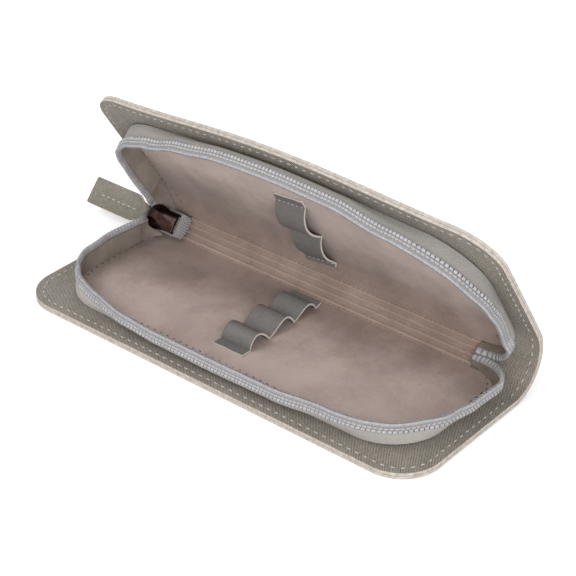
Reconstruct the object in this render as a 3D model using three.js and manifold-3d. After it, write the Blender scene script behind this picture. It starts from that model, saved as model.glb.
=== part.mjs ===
// A tweezer storage case: a leather wrap cover folded round a soft spine, a zip-round pocket on
// each half, a ribbed suede spine lining and sewn loops that hold the tweezers.
// Millimetres. X runs along the case, -Y is the front edge of the lower half, +Z is up.
// The origin is the middle of the lower cover's underside, where the case rests.
import * as THREE from "three";
import { mergeVertices } from "three/addons/utils/BufferGeometryUtils.js";
import Module from "manifold-3d";

const wasm = await Module();
wasm.setup();

const degrees = Math.PI / 180;

// Cover: two plies of grained leather, and a stiffener board in a window of the inner one
const caseLength = 174.8;
const panelDepth = 57.2;
const panelCornerRadius = 15;
const outerPly = 0.9;
const plyGap = 0.25;
const innerPly = 1.05;
const coverThickness = outerPly + plyGap + innerPly;
const windowInset = 4;
const windowBack = 5.4;
const boardThickness = 0.75;
const boardClearance = 0.4;

// Spine: the stretch of cover that bends between the two flat panels
const openAngleDeg = 58.2;
const spineInnerRadius = 12.9;
const spineArc = (180 - openAngleDeg) * degrees;
const spineCentreZ = coverThickness + spineInnerRadius;
const outerFoldGap = 0.75;
const innerFoldGap = 0.42;

// Pocket: the line on the flange where the zip wall stands
const seat = 0.3;
const flangeSide = 8.9;
const flangeFront = 8.7;
const pocketHalfLength = caseLength / 2 - flangeSide;
const pocketDepth = panelDepth - flangeFront;
const pocketCornerRadius = 20;
const wallBackEnd = 4.6;

// Zip wall: woven tape with the nylon coil on its outer face
const tapeThickness = 0.5;
const tapeFoot = seat + tapeThickness / 2;
const tapeRise = 6.1;
const coilBand = 3.8;
const bendFrom = 2.4;
const wallHeight = tapeRise + coilBand;
const tapeHeightShares = [0, 0.13, 0.26, 0.38, 0.5, 0.62, 1];
const liningThickness = 0.5;
const liningGap = 0.25;
const liningHeightShares = [0.1, 0.26, 0.39, 0.53];
const coilGap = 0.25;
const coilHeight = 1.4;
const toothPitch = 1.5;
const toothDipShare = 0.32;
const toothSetShare = 0.09;

// Section of the coil, whose teeth have two humps. Each row: share of the coil band up the wall,
// share of the coil's height off the tape.
const coilShares = [
  [0.05, 0.25],
  [0.26, 0.96],
  [0.57, 0.57],
  [0.84, 1],
  [1.13, 0.54],
];

// Lean of the wall from upright, outwards. Each row: share of the way round from the back left,
// lean at the foot and lean at the rim, in degrees.
const leanRows = [
  [0, -8, -8],
  [0.105, -8, -8],
  [0.174, 0, 0],
  [0.243, 24, 12],
  [0.285, 58, 10],
  [0.4, 74, 8],
  [0.5, 76, 6],
  [0.62, 70, 8],
  [0.72, 38, 14],
  [0.8, 16, 16],
  [0.85, 12, 16],
  [0.895, 30, 18],
  [0.94, 50, 16],
  [1, 50, 16],
];
const leanSteps = 12;

// Suede linings of the two halves and of the spine
const suedeThickness = 0.8;
const suedeWallClearance = 0.95;
const suedeFoldClearance = 0.9;
const suedeTop = seat + suedeThickness;
const ribbedInset = 13.3;
const ribbedHalfLength = pocketHalfLength - ribbedInset;
const ribbedCentreX = 0.8;
const ribbedFromDeg = 24;
const ribbedToDeg = 73;
const ribbedSeamDeg = 1.5;
const ribbedRaise = 0.7;
const ribCount = 4;
const ribHeight = 0.7;
const ribStepsEach = 6;

// Loop strips that hold the tweezers
const stripThickness = 0.8;
const stripRest = suedeTop + seat;
const stripSteps = 9;
const stripStart = -10;
const lowerStripWidth = 12.4;
const upperStripWidth = 13.4;
const lowerTabShare = 0.796;
const lowerRowShares = [0.709, 0.482, 0.237];
const lowerCrests = [0.5, 0.62];
const lowerBackRowShares = [0.221, -0.012];
const lowerBackEndShare = -0.091;
const lowerLoopHeight = 5.2;
const upperTabShare = 0.685;
const upperRowShares = [0.604, 0.219];
const upperBackRowShares = [0.202, -0.169];
const upperBackEndShare = -0.198;
const upperLoopHeight = 5.4;
const backCrest = 0.6;

// Slider, in its own frame: x along the spine, t across it, o off its middle plane to the spine cover
const sliderAngle = 48 * degrees;
const sliderRadius = 6.4;
const sliderDrop = 0.8;
const sliderInset = 8.2;
const sliderNoseX = sliderInset - caseLength / 2;
const sliderLength = 13.2;
const sliderNoseWidth = 9.6;
const sliderTailWidth = 7.8;
const sliderShoulder = 4.8;
const noseShares = [
  [0, 0.42],
  [0.1, 0.64],
  [0.3, 0.82],
  [0.6, 0.95],
  [1, 1],
];
const sliderPlate = 0.8;
const sliderChannel = 3;
const sliderRail = 0.8;
const sliderSlit = 1.1;
const sliderRidge = 0.45;
const wedgeLength = 5;
const wedgeWidth = 3;
const wedgePoint = 0.5;
const bridgeWidth = 1.8;
const bridgeLength = 7.2;
const bridgeWall = 0.65;
const bridgeSetback = 1.6;
const wire = 0.9;
const wireClearance = 0.3;
const linkLength = 8.1;
const linkWidth = 6.6;
const linkCornerRadius = 1.5;
const wireSides = 8;

// Zip tail: the closed end of the chain, from inside the slider to under the ribbed strip
const tailTape = 0.5;
const tailWidth = 10.4;
const tailInset = 17.2;
const tailLength = 5.45;
const tailDescent = 4.2;
const tailShares = [
  [0, 0],
  [0.66, 0],
  [0.844, 0.083],
  [0.954, 0.333],
  [0.991, 0.667],
  [1, 1],
];
const tailColumns = 6;
const chainWidth = 5.2;
const chainHeight = 0.85;
const chainGap = 0.15;
const chainShares = [0.037, 0.55];

// Leather pull tab, folded round the far side of the link
const tabThickness = 0.75;
const tabWidth = 10.8;
const tabNeckWidth = 6.9;
const linkInnerWidth = 4.6;
const tabTaperLength = 4.4;
const tabReach = 25.4;
const tabPlyGap = 0.3;
const tabWireGap = 0.25;
const tabCloseLength = 2.6;
const tabFoldSteps = 6;

// Soft tape ends, from the end of the wall to the slider on the left, and to the end of the ribbed
// strip on the right. Each row: the rim, then the foot, of one cross line, each as shares of how far
// it swings out past the pocket's side, of the run from the fold, and of the height off the cover.
const endReach = 6;
const endRun = 10;
const endRise = 10;
const lowerLeftShares = [
  [-0.233, 0.43, 0.99, 0, 0.43, 0.07],
  [-0.067, 0.22, 0.97, 0.067, 0.26, 0.16],
  [0.167, 0.02, 0.92, 0.2, 0.09, 0.28],
  [0.283, -0.15, 0.85, 0.283, -0.04, 0.4],
  [0.317, -0.27, 0.77, 0.3, -0.12, 0.48],
  [0.283, -0.34, 0.71, 0.283, -0.17, 0.52],
];
const upperLeftShares = [
  [-0.233, 0.43, 0.99, 0, 0.43, 0.07],
  [-0.133, 0.16, 1.01, 0.05, 0.18, 0.24],
  [0.017, -0.12, 1.03, 0.133, -0.08, 0.44],
  [0.167, -0.34, 1.02, 0.217, -0.29, 0.59],
  [0.25, -0.5, 1.01, 0.25, -0.43, 0.69],
  [0.267, -0.58, 1, 0.267, -0.51, 0.75],
];
const lowerRightShares = [
  [0.85, 0.43, 0.9, 0.067, 0.43, 0.07],
  [0.95, 0.19, 0.91, 0.15, 0.22, 0.12],
  [0.717, -0.04, 0.89, 0.05, -0.02, 0.16],
  [0.15, -0.25, 0.87, -0.25, -0.21, 0.19],
  [-0.433, -0.44, 0.82, -0.833, -0.36, 0.23],
  [-1.167, -0.54, 0.74, -1.45, -0.47, 0.28],
  [-1.933, -0.59, 0.64, -1.983, -0.52, 0.32],
];
const upperRightShares = [
  [0.85, 0.43, 0.9, 0.067, 0.43, 0.07],
  [0.883, 0.19, 0.92, 0.15, 0.16, 0.16],
  [0.583, -0.06, 0.94, 0.05, -0.25, 0.26],
  [0.233, -0.33, 0.96, -0.217, -0.58, 0.36],
  [-0.25, -0.59, 0.98, -0.567, -0.76, 0.44],
  [-0.933, -0.77, 0.99, -1.167, -0.84, 0.52],
  [-1.933, -0.87, 0.97, -1.983, -0.87, 0.59],
];
const endTapeThickness = 1;
const endSteps = 14;

const cornerSteps = 9;
const frontSteps = 16;
const sideSteps = 3;
const spineSteps = 26;

// Colours, one material per piece
const leather = { color: 0x8d8579, roughness: 0.75 };
const board = { color: 0xb9a98c, roughness: 0.9 };
const weave = { color: 0xb9b8b4, roughness: 0.85 };
const nylon = { color: 0xc2c4c8, roughness: 0.45 };
const suede = { color: 0xab968b, roughness: 0.95 };
const lining = { color: 0x827b74, roughness: 0.7 };
const strap = { color: 0x86837d, roughness: 0.6 };
const chrome = { color: 0x3a3634, roughness: 0.15, metalness: 1 };

// The two halves, in the Y-Z plane from the fold of the lower one: where v and n are 0, v runs to
// the front edge, n off the inner face
const foldEnd = [
  spineInnerRadius * Math.sin(spineArc),
  spineCentreZ - spineInnerRadius * Math.cos(spineArc),
];
const openAngle = openAngleDeg * degrees;
const lower = { fold: [0, coverThickness], v: [-1, 0], n: [0, 1] };
const upper = {
  fold: foldEnd,
  v: [-Math.cos(openAngle), Math.sin(openAngle)],
  n: [-Math.sin(openAngle), -Math.cos(openAngle)],
};

const group = new THREE.Group();
group.position.y = panelDepth / 2;

function addPiece(name, positions, triangles, look) {
  let volume = 0;
  const corner = triangles.map((i) => new THREE.Vector3().fromArray(positions, 3 * i));
  for (let i = 0; i < corner.length; i += 3) {
    volume += corner[i].dot(corner[i + 1].clone().cross(corner[i + 2]));
  }
  const facing = volume < 0 ? triangles.slice().reverse() : triangles;
  const geometry = new THREE.BufferGeometry();
  geometry.setAttribute("position", new THREE.Float32BufferAttribute(positions, 3));
  geometry.setIndex(facing);
  geometry.computeVertexNormals();
  const mesh = new THREE.Mesh(geometry, new THREE.MeshStandardMaterial(look));
  mesh.name = name;
  group.add(mesh);
}

// A point of a half, from its place along the case, v and n
function onHalf(half, x, v, n) {
  return new THREE.Vector3(
    x,
    half.fold[0] + v * half.v[0] + n * half.n[0],
    half.fold[1] + v * half.v[1] + n * half.n[1],
  );
}

// A point of the spine, from its angle along the arc and its height off the inner face
function onSpine(x, angle, n) {
  const radius = spineInnerRadius - n;
  return new THREE.Vector3(x, radius * Math.sin(angle), spineCentreZ - radius * Math.cos(angle));
}

// The same, from either side of a half's fold: v below 0 lies on the spine
function overFold(half, x, v, n) {
  if (v >= 0) return onHalf(half, x, v, n);
  const turn = -v / spineInnerRadius;
  return onSpine(x, half === lower ? turn : spineArc - turn, n);
}

// A sheet with thickness: rows of pairs of points, one on each face
function addSheet(name, rows, look) {
  const across = rows[0].length;
  const positions = rows.flat(2).flatMap((point) => point.toArray());
  const at = (row, column, face) => 2 * (row * across + column) + face;
  const triangles = [];
  const quad = (a, b, c, d) => triangles.push(a, b, c, a, c, d);
  const last = rows.length - 1;
  for (let r = 0; r < last; r += 1) {
    for (let c = 0; c < across - 1; c += 1) {
      quad(at(r, c, 0), at(r, c + 1, 0), at(r + 1, c + 1, 0), at(r + 1, c, 0));
      quad(at(r, c, 1), at(r + 1, c, 1), at(r + 1, c + 1, 1), at(r, c + 1, 1));
    }
    quad(at(r, 0, 0), at(r + 1, 0, 0), at(r + 1, 0, 1), at(r, 0, 1));
    quad(at(r, across - 1, 0), at(r, across - 1, 1), at(r + 1, across - 1, 1), at(r + 1, across - 1, 0));
  }
  for (let c = 0; c < across - 1; c += 1) {
    quad(at(0, c, 0), at(0, c, 1), at(0, c + 1, 1), at(0, c + 1, 0));
    quad(at(last, c, 0), at(last, c + 1, 0), at(last, c + 1, 1), at(last, c, 1));
  }
  addPiece(name, positions, triangles, look);
}

// A bar through rings of points, its ends closed over the flat section it starts from
function addBar(name, rings, section, look) {
  const around = section.length;
  const positions = rings.flat().flatMap((point) => point.toArray());
  const triangles = [];
  for (let r = 0; r < rings.length - 1; r += 1) {
    for (let i = 0; i < around; i += 1) {
      const a = r * around + i;
      const b = r * around + ((i + 1) % around);
      triangles.push(a, b, b + around, a, b + around, a + around);
    }
  }
  const flat = section.map(([x, y]) => new THREE.Vector2(x, y));
  const end = (rings.length - 1) * around;
  const turned = THREE.ShapeUtils.isClockWise(flat);
  for (const [a, b, c] of THREE.ShapeUtils.triangulateShape(flat, [])) {
    const [p, q] = turned ? [b, c] : [c, b];
    triangles.push(a, p, q, end + a, end + q, end + p);
  }
  addPiece(name, positions, triangles, look);
}

function solidOf(geometry) {
  geometry.deleteAttribute("normal");
  geometry.deleteAttribute("uv");
  const merged = mergeVertices(geometry);
  return new wasm.Manifold(
    new wasm.Mesh({
      numProp: 3,
      vertProperties: merged.attributes.position.array,
      triVerts: new Uint32Array(merged.index.array),
    }),
  );
}

// A solid of the cutting library as a piece, each of its points placed by the given function
function addSolid(name, solid, placed, look) {
  const made = solid.getMesh();
  const positions = [];
  for (let i = 0; i < made.numVert; i += 1) {
    const [x, y, z] = made.vertProperties.slice(i * made.numProp, i * made.numProp + 3);
    positions.push(...placed(x, y, z).toArray());
  }
  addPiece(name, positions, Array.from(made.triVerts), look);
}

// A flat plate of a half: square at the fold, rounded at the front, between two heights
function plate(halfLength, back, front, radius, low, high) {
  const outline = new THREE.Shape();
  outline.moveTo(-halfLength, back);
  outline.lineTo(halfLength, back);
  outline.absarc(halfLength - radius, front - radius, radius, 0, Math.PI / 2, false);
  outline.absarc(radius - halfLength, front - radius, radius, Math.PI / 2, Math.PI, false);
  const geometry = new THREE.ExtrudeGeometry(outline, {
    depth: high - low,
    bevelEnabled: false,
    curveSegments: cornerSteps,
  });
  geometry.translate(0, 0, low);
  return solidOf(geometry);
}

// Cover of a half: outer ply, inner ply with a window, board in the window
function addCover(half, name) {
  const placed = (x, v, n) => onHalf(half, x, v, n);
  const edge = caseLength / 2;
  const outerTop = outerPly - coverThickness;
  const outer = plate(edge, outerFoldGap, panelDepth, panelCornerRadius, -coverThickness, outerTop);
  addSolid(name + "_cover_outer", outer, placed, leather);
  const side = pocketHalfLength - windowInset;
  const front = pocketDepth - windowInset;
  const round = pocketCornerRadius - windowInset;
  const inner = plate(edge, innerFoldGap, panelDepth, panelCornerRadius, -innerPly, 0);
  const window = plate(side, windowBack, front, round, -coverThickness, seat);
  addSolid(name + "_cover_facing", inner.subtract(window), placed, leather);
  const loose = boardClearance;
  const under = (boardThickness - innerPly) / 2 - boardThickness;
  const filling = plate(
    side - loose, windowBack + loose, front - loose, round - loose, under, under + boardThickness,
  );
  addSolid(name + "_stiffener_board", filling, placed, board);
}

function addSuede(half, name) {
  const inset = suedeWallClearance;
  const floor = plate(
    pocketHalfLength - inset, suedeFoldClearance, pocketDepth - inset, pocketCornerRadius - inset,
    seat, suedeTop,
  );
  addSolid(name + "_suede_lining", floor, (x, v, n) => onHalf(half, x, v, n), suede);
}

// Path of the wall: left side, corner, front, corner, right side
const wallSide = pocketDepth - pocketCornerRadius - wallBackEnd;
const wallCorner = (Math.PI / 2) * pocketCornerRadius;
const wallFront = 2 * (pocketHalfLength - pocketCornerRadius);
const wallLength = 2 * (wallSide + wallCorner) + wallFront;

// Where the wall stands at a distance along it, and which way is outwards there
function wallStand(distance) {
  const second = distance > wallLength / 2;
  const d = second ? wallLength - distance : distance;
  const sign = second ? -1 : 1;
  const straightX = pocketHalfLength - pocketCornerRadius;
  const straightV = pocketDepth - pocketCornerRadius;
  if (d <= wallSide) {
    return { x: -sign * pocketHalfLength, v: wallBackEnd + d, outX: -sign, outV: 0 };
  }
  if (d <= wallSide + wallCorner) {
    const turn = (d - wallSide) / pocketCornerRadius;
    const outX = -sign * Math.cos(turn);
    const outV = Math.sin(turn);
    return {
      x: -sign * straightX + outX * pocketCornerRadius,
      v: straightV + outV * pocketCornerRadius,
      outX,
      outV,
    };
  }
  const along = d - wallSide - wallCorner;
  return { x: sign * (along - straightX), v: pocketDepth, outX: 0, outV: 1 };
}

function leanAt(share, height) {
  const next = Math.max(1, leanRows.findIndex((row) => row[0] >= share));
  const [from, foot0, rim0] = leanRows[next - 1];
  const [to, foot1, rim1] = leanRows[next];
  const mix = THREE.MathUtils.smoothstep(share, from, to);
  const foot = THREE.MathUtils.lerp(foot0, foot1, mix);
  const rim = THREE.MathUtils.lerp(rim0, rim1, mix);
  const bend = THREE.MathUtils.smoothstep(height, bendFrom, tapeRise);
  return THREE.MathUtils.lerp(foot, rim, bend) * degrees;
}

// A point of a wall, from the distance along it, the height up it and the distance off its middle
function onWall(half, distance, height, off) {
  const share = Math.min(1, distance / wallLength);
  const stand = wallStand(distance);
  let out = 0;
  let up = tapeFoot;
  const step = height / leanSteps;
  for (let i = 0; i < leanSteps; i += 1) {
    const lean = leanAt(share, (i + 1 / 2) * step);
    out += Math.sin(lean) * step;
    up += Math.cos(lean) * step;
  }
  const lean = leanAt(share, height);
  out += off * Math.cos(lean);
  up -= off * Math.sin(lean);
  return onHalf(half, stand.x + out * stand.outX, stand.v + out * stand.outV, up);
}

// Distances along the wall where it is drawn: few on the straight sides, more at the corners
function wallStops() {
  const stops = [];
  const span = (from, length, steps) => {
    for (let i = 0; i < steps; i += 1) stops.push(from + (length * i) / steps);
  };
  span(0, wallSide, sideSteps);
  span(wallSide, wallCorner, cornerSteps);
  span(wallSide + wallCorner, wallFront, frontSteps);
  span(wallLength - wallSide - wallCorner, wallCorner, cornerSteps);
  span(wallLength - wallSide, wallSide, sideSteps);
  stops.push(wallLength);
  return stops;
}

function addWall(half, name) {
  const skin = (heights, outer, inner) =>
    wallStops().map((distance) =>
      heights.map((height) => [
        onWall(half, distance, height, outer),
        onWall(half, distance, height, inner),
      ]),
    );
  const tapeFace = tapeThickness / 2;
  const tapeHeights = tapeHeightShares.map((share) => share * wallHeight);
  addSheet(name + "_zip_tape", skin(tapeHeights, tapeFace, -tapeFace), weave);
  const liningFace = -tapeFace - liningGap;
  const liningHeights = liningHeightShares.map((share) => share * wallHeight);
  const liningRows = skin(liningHeights, liningFace, liningFace - liningThickness);
  addSheet(name + "_gusset_lining", liningRows, lining);
}

// Zip coil: a bar on the tape's outer face whose section swells at every tooth
function addCoil(half, name) {
  const base = tapeThickness / 2 + coilGap;
  const humps = coilShares.map(([up, off]) => [tapeRise + up * coilBand, off * coilHeight]);
  const first = humps[0][0];
  const last = humps[humps.length - 1][0];
  const set = toothSetShare * coilBand;
  const dip = toothDipShare * coilHeight;
  const section = [...humps, [last - set, 0], [first, 0]];
  const teeth = Math.floor(wallLength / toothPitch);
  const stops = [];
  for (let tooth = 0; tooth < teeth; tooth += 1) {
    stops.push([(tooth * wallLength) / teeth, 1]);
    stops.push([((tooth + 1 / 2) * wallLength) / teeth, 0]);
  }
  stops.push([wallLength, 1]);
  const rings = stops.map(([distance, crest]) =>
    section.map(([height, off]) => {
      const sunk = off > 0 ? Math.max(dip / 2, off - (1 - crest) * dip) : 0;
      const top = last - (1 - crest) * set;
      return onWall(half, distance, Math.min(height, top), base + sunk);
    }),
  );
  addBar(name + "_zip_coil", rings, section, nylon);
}

// Spine: cover plies, suede and ribbed strip follow the arc
function addArc(name, fromX, toX, fromAngle, toAngle, low, height, steps, look) {
  const rows = [];
  for (let i = 0; i <= steps; i += 1) {
    const share = i / steps;
    const angle = THREE.MathUtils.lerp(fromAngle, toAngle, share);
    rows.push([fromX, toX].map((x) => [onSpine(x, angle, low), onSpine(x, angle, height(share))]));
  }
  addSheet(name, rows, look);
}

function addSpine() {
  const edge = caseLength / 2;
  const outerGap = outerFoldGap / spineInnerRadius;
  const innerGap = innerFoldGap / spineInnerRadius;
  const suedeGap = suedeFoldClearance / spineInnerRadius;
  const outerTop = outerPly - coverThickness;
  const flat = (level) => () => level;
  addArc(
    "spine_cover_outer", -edge, edge, outerGap, spineArc - outerGap,
    -coverThickness, flat(outerTop), spineSteps, leather,
  );
  addArc(
    "spine_cover_facing", -edge, edge, innerGap, spineArc - innerGap,
    -innerPly, flat(0), spineSteps, leather,
  );
  const from = ribbedCentreX - ribbedHalfLength;
  const to = ribbedCentreX + ribbedHalfLength;
  const seam = ribbedSeamDeg * degrees;
  const ribbedFrom = ribbedFromDeg * degrees;
  const ribbedTo = ribbedToDeg * degrees;
  addArc(
    "spine_suede_lower", from, to, suedeGap, ribbedFrom - seam,
    seat, flat(suedeTop), cornerSteps, suede,
  );
  addArc(
    "spine_suede_upper", from, to, ribbedTo + seam, spineArc - suedeGap,
    seat, flat(suedeTop), cornerSteps, suede,
  );
  const ribs = (share) => {
    const wave = Math.sin(Math.PI * ribCount * share) ** 2;
    return suedeTop + ribbedRaise + ribHeight * wave;
  };
  addArc(
    "spine_ribbed_lining", from, to, ribbedFrom, ribbedTo,
    seat, ribs, ribCount * ribStepsEach, suede,
  );
}

// Middle line of a strip: flat tabs where it is sewn down, a loop between each two rows of stitches
function stripLine(edge, rows, crests, height, end) {
  const line = [[edge, stripRest]];
  rows.forEach((row, i) => {
    line.push([row, stripRest]);
    if (i === rows.length - 1) return;
    const power = Math.log(1 / 2) / Math.log(crests[i]);
    for (let step = 1; step < stripSteps; step += 1) {
      const share = step / stripSteps;
      const rise = Math.sin(Math.PI * share ** power);
      line.push([THREE.MathUtils.lerp(row, rows[i + 1], share), stripRest + height * rise]);
    }
  });
  if (end !== undefined) line.push([end, stripRest]);
  return line;
}

// The strip's two faces: the middle line moved square to itself by half a thickness, either way
function addStrip(name, half, widthX, line) {
  const half_t = stripThickness / 2;
  const rows = line.map(([v, n], i) => {
    const [v0, n0] = line[Math.max(0, i - 1)];
    const [v1, n1] = line[Math.min(line.length - 1, i + 1)];
    const long = Math.hypot(v1 - v0, n1 - n0);
    const offV = ((n1 - n0) / long) * half_t;
    const offN = ((v0 - v1) / long) * half_t;
    return widthX.map((x) => [
      overFold(half, x, v + offV, n + half_t + offN),
      overFold(half, x, v - offV, n + half_t - offN),
    ]);
  });
  addSheet(name, rows, strap);
}

function addStrips() {
  const lowerX = [stripStart, stripStart + lowerStripWidth];
  const upperX = [stripStart, stripStart + upperStripWidth];
  const inPocket = (shares) => shares.map((share) => share * pocketDepth);
  const lowerFront = stripLine(
    lowerTabShare * pocketDepth, inPocket(lowerRowShares), lowerCrests, lowerLoopHeight,
  );
  addStrip("lower_loop_strip", lower, lowerX, lowerFront);
  const lowerBackRows = inPocket(lowerBackRowShares);
  const lowerBack = stripLine(
    lowerBackRows[0], lowerBackRows, [backCrest], lowerLoopHeight, lowerBackEndShare * pocketDepth,
  ).slice(1);
  addStrip("lower_back_loop", lower, lowerX, lowerBack);
  const upperFront = stripLine(
    upperTabShare * pocketDepth, inPocket(upperRowShares), [backCrest], upperLoopHeight,
  );
  addStrip("upper_loop_strip", upper, upperX, upperFront);
  const upperBackRows = inPocket(upperBackRowShares);
  const upperBack = stripLine(
    upperBackRows[0], upperBackRows, [backCrest], upperLoopHeight, upperBackEndShare * pocketDepth,
  ).slice(1);
  addStrip("upper_back_loop", upper, upperX, upperBack);
}

// Soft tape end: a ribbon through its cross lines
function addTapeEnd(name, half, side, shares, look) {
  const through = (row) => {
    const [out, run, rise] = row;
    return new THREE.Vector3(side * (pocketHalfLength + out * endReach), run * endRun, rise * endRise);
  };
  const rim = new THREE.CatmullRomCurve3(shares.map((row) => through(row.slice(0, 3))));
  const foot = new THREE.CatmullRomCurve3(shares.map((row) => through(row.slice(3))));
  const rows = [];
  for (let i = 0; i <= endSteps; i += 1) {
    const share = i / endSteps;
    const top = rim.getPoint(share);
    const bottom = foot.getPoint(share);
    const heading = rim.getTangent(share).add(foot.getTangent(share));
    const off = heading.cross(top.clone().sub(bottom)).setLength(endTapeThickness / 2);
    rows.push(
      [top, bottom].map((p) =>
        [1, -1].map((face) => {
          const q = p.clone().addScaledVector(off, face);
          return onHalf(half, q.x, q.y, q.z);
        }),
      ),
    );
  }
  addSheet(name, rows, look);
}

// A point in the slider's frame
function atSlider(x, t, o) {
  const s = Math.sin(sliderAngle);
  const c = Math.cos(sliderAngle);
  const radius = sliderRadius + o;
  const across = t - sliderDrop;
  return new THREE.Vector3(x, radius * s + across * c, spineCentreZ - radius * c + across * s);
}

// A block in the slider's frame, from its corners
function block(x0, x1, t0, t1, o0, o1) {
  const geometry = new THREE.BoxGeometry(x1 - x0, t1 - t0, o1 - o0);
  geometry.translate((x0 + x1) / 2, (t0 + t1) / 2, (o0 + o1) / 2);
  return solidOf(geometry);
}

// An outline of x and t points with a height
function slab(points, o0, o1) {
  const outline = new THREE.Shape(points.map(([x, t]) => new THREE.Vector2(x, t)));
  const geometry = new THREE.ExtrudeGeometry(outline, { depth: o1 - o0, bevelEnabled: false });
  geometry.translate(0, 0, o0);
  return solidOf(geometry);
}

// Slider body: two plates held by the wedge, a channel for each coil, a slit for the tape, a bridge
function addSlider() {
  const nose = sliderNoseX;
  const tail = nose + sliderLength;
  const shoulder = nose + sliderShoulder;
  const wideHalf = sliderNoseWidth / 2;
  const slimHalf = sliderTailWidth / 2;
  const deep = sliderChannel / 2;
  const high = deep + sliderPlate;
  const mirror = (points) => [...points, ...points.map(([x, t]) => [x, -t]).reverse()];
  const round = noseShares.map(([run, side]) => [nose + run * sliderShoulder, side * wideHalf]);
  const outline = mirror([...round, [tail - sliderShoulder, slimHalf], [tail, slimHalf]]);
  let body = slab(outline, -high - sliderRidge, high);
  const facet = [
    [-slimHalf - wideHalf, -high + sliderPlate / 2],
    [0, -high - sliderRidge],
    [slimHalf + wideHalf, -high + sliderPlate / 2],
    [slimHalf + wideHalf, high],
    [-slimHalf - wideHalf, high],
  ];
  const roof = new THREE.ExtrudeGeometry(
    new THREE.Shape(facet.map(([t, o]) => new THREE.Vector2(t, o))),
    { depth: 3 * sliderLength, bevelEnabled: false },
  );
  roof.rotateY(Math.PI / 2);
  roof.rotateX(Math.PI / 2);
  roof.translate(nose - sliderLength, 0, 0);
  body = body.intersect(solidOf(roof));
  const rail = sliderRail;
  const hollow = mirror([
    [nose - rail, wideHalf - rail],
    [shoulder, wideHalf - rail],
    [tail - sliderShoulder, slimHalf - rail],
    [tail + rail, slimHalf - rail],
  ]);
  const wedge = mirror([
    [nose - rail, wedgeWidth / 2],
    [nose + wedgeLength / 2, wedgeWidth / 2],
    [nose + wedgeLength, wedgePoint / 2],
  ]);
  const channel = slab(hollow, -deep, deep).subtract(slab(wedge, -high, high));
  const slit = block(
    nose - rail, tail + rail, -wideHalf - rail, wideHalf + rail, -sliderSlit / 2, sliderSlit / 2,
  ).subtract(slab(wedge, -high, high));
  body = body.subtract(channel).subtract(slit);
  const reach = wire + 2 * wireClearance;
  const b0 = nose + bridgeSetback;
  const b1 = b0 + bridgeLength;
  const half = bridgeWidth / 2;
  const arch = block(b0, b1, -half, half, high - sliderPlate / 2, high + reach + bridgeWall).subtract(
    block(b0 + bridgeWall, b1 - bridgeWall, -wideHalf, wideHalf, high, high + reach),
  );
  body = body.add(arch);
  addSolid("slider_body", body, atSlider, chrome);
}

const linkOff = sliderChannel / 2 + sliderPlate + wireClearance + wire / 2;
const linkNearX = sliderNoseX + bridgeSetback + bridgeWall + wireClearance + wire / 2;
const linkFarX = linkNearX - linkLength;

// Puller link: a wire ring, one side under the bridge
function addLink() {
  const half = linkWidth / 2;
  const round = linkCornerRadius;
  const corners = [
    [linkNearX - round, half - round, 0],
    [linkFarX + round, half - round, 1],
    [linkFarX + round, round - half, 2],
    [linkNearX - round, round - half, 3],
  ];
  const rings = [];
  const arcSteps = 4;
  for (const [x, t, quarter] of corners) {
    for (let i = 0; i <= arcSteps; i += 1) {
      const turn = (quarter + i / arcSteps) * (Math.PI / 2);
      const outX = Math.cos(turn);
      const outT = Math.sin(turn);
      const ring = [];
      for (let side = 0; side < wireSides; side += 1) {
        const angle = (2 * Math.PI * side) / wireSides;
        const off = round + (wire / 2) * Math.cos(angle);
        ring.push(atSlider(x + outX * off, t + outT * off, linkOff + (wire / 2) * Math.sin(angle)));
      }
      rings.push(ring);
    }
  }
  const positions = rings.flat().flatMap((point) => point.toArray());
  const triangles = [];
  rings.forEach((_, r) => {
    const next = (r + 1) % rings.length;
    for (let i = 0; i < wireSides; i += 1) {
      const j = (i + 1) % wireSides;
      const [a, b] = [r * wireSides + i, r * wireSides + j];
      const [c, d] = [next * wireSides + j, next * wireSides + i];
      triangles.push(a, b, c, a, c, d);
    }
  });
  addPiece("puller_link", positions, triangles, chrome);
}

// Leather pull tab: one strap that comes from its free end, folds round the link and goes back
function addTab() {
  const foldRadius = wire / 2 + tabWireGap + tabThickness / 2;
  const ply = (tabPlyGap + tabThickness) / 2;
  const closeX = linkFarX - tabCloseLength;
  const tabEndX = -caseLength / 2 - tabReach;
  const line = [[tabEndX, ply], [closeX, ply]];
  for (let i = 0; i <= tabFoldSteps; i += 1) {
    const turn = Math.PI / 2 - (Math.PI * i) / tabFoldSteps;
    line.push([linkFarX + foldRadius * Math.cos(turn), foldRadius * Math.sin(turn)]);
  }
  line.push([closeX, -ply], [tabEndX, -ply]);
  const necks = tabNeckWidth - tabWidth;
  const neckX = closeX - tabTaperLength;
  const full = [];
  for (const [x, o] of line) {
    full.push([x, o]);
  }
  full.splice(1, 0, [neckX, ply]);
  full.splice(full.length - 1, 0, [neckX, -ply]);
  const rows = full.map(([x, o], i) => {
    const [x0, o0] = full[Math.max(0, i - 1)];
    const [x1, o1] = full[Math.min(full.length - 1, i + 1)];
    const long = Math.hypot(x1 - x0, o1 - o0);
    const offX = ((o0 - o1) / long) * (tabThickness / 2);
    const offO = ((x1 - x0) / long) * (tabThickness / 2);
    const wide = (tabWidth + necks * THREE.MathUtils.smoothstep(x, neckX, closeX)) / 2;
    const inRing = THREE.MathUtils.smoothstep(x, closeX, linkFarX);
    const halfWidth = THREE.MathUtils.lerp(wide, linkInnerWidth / 2, inRing);
    return [-halfWidth, halfWidth].map((t) => [
      atSlider(x + offX, t, linkOff + o + offO),
      atSlider(x - offX, t, linkOff + o - offO),
    ]);
  });
  addSheet("pull_tab", rows, leather);
}

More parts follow.
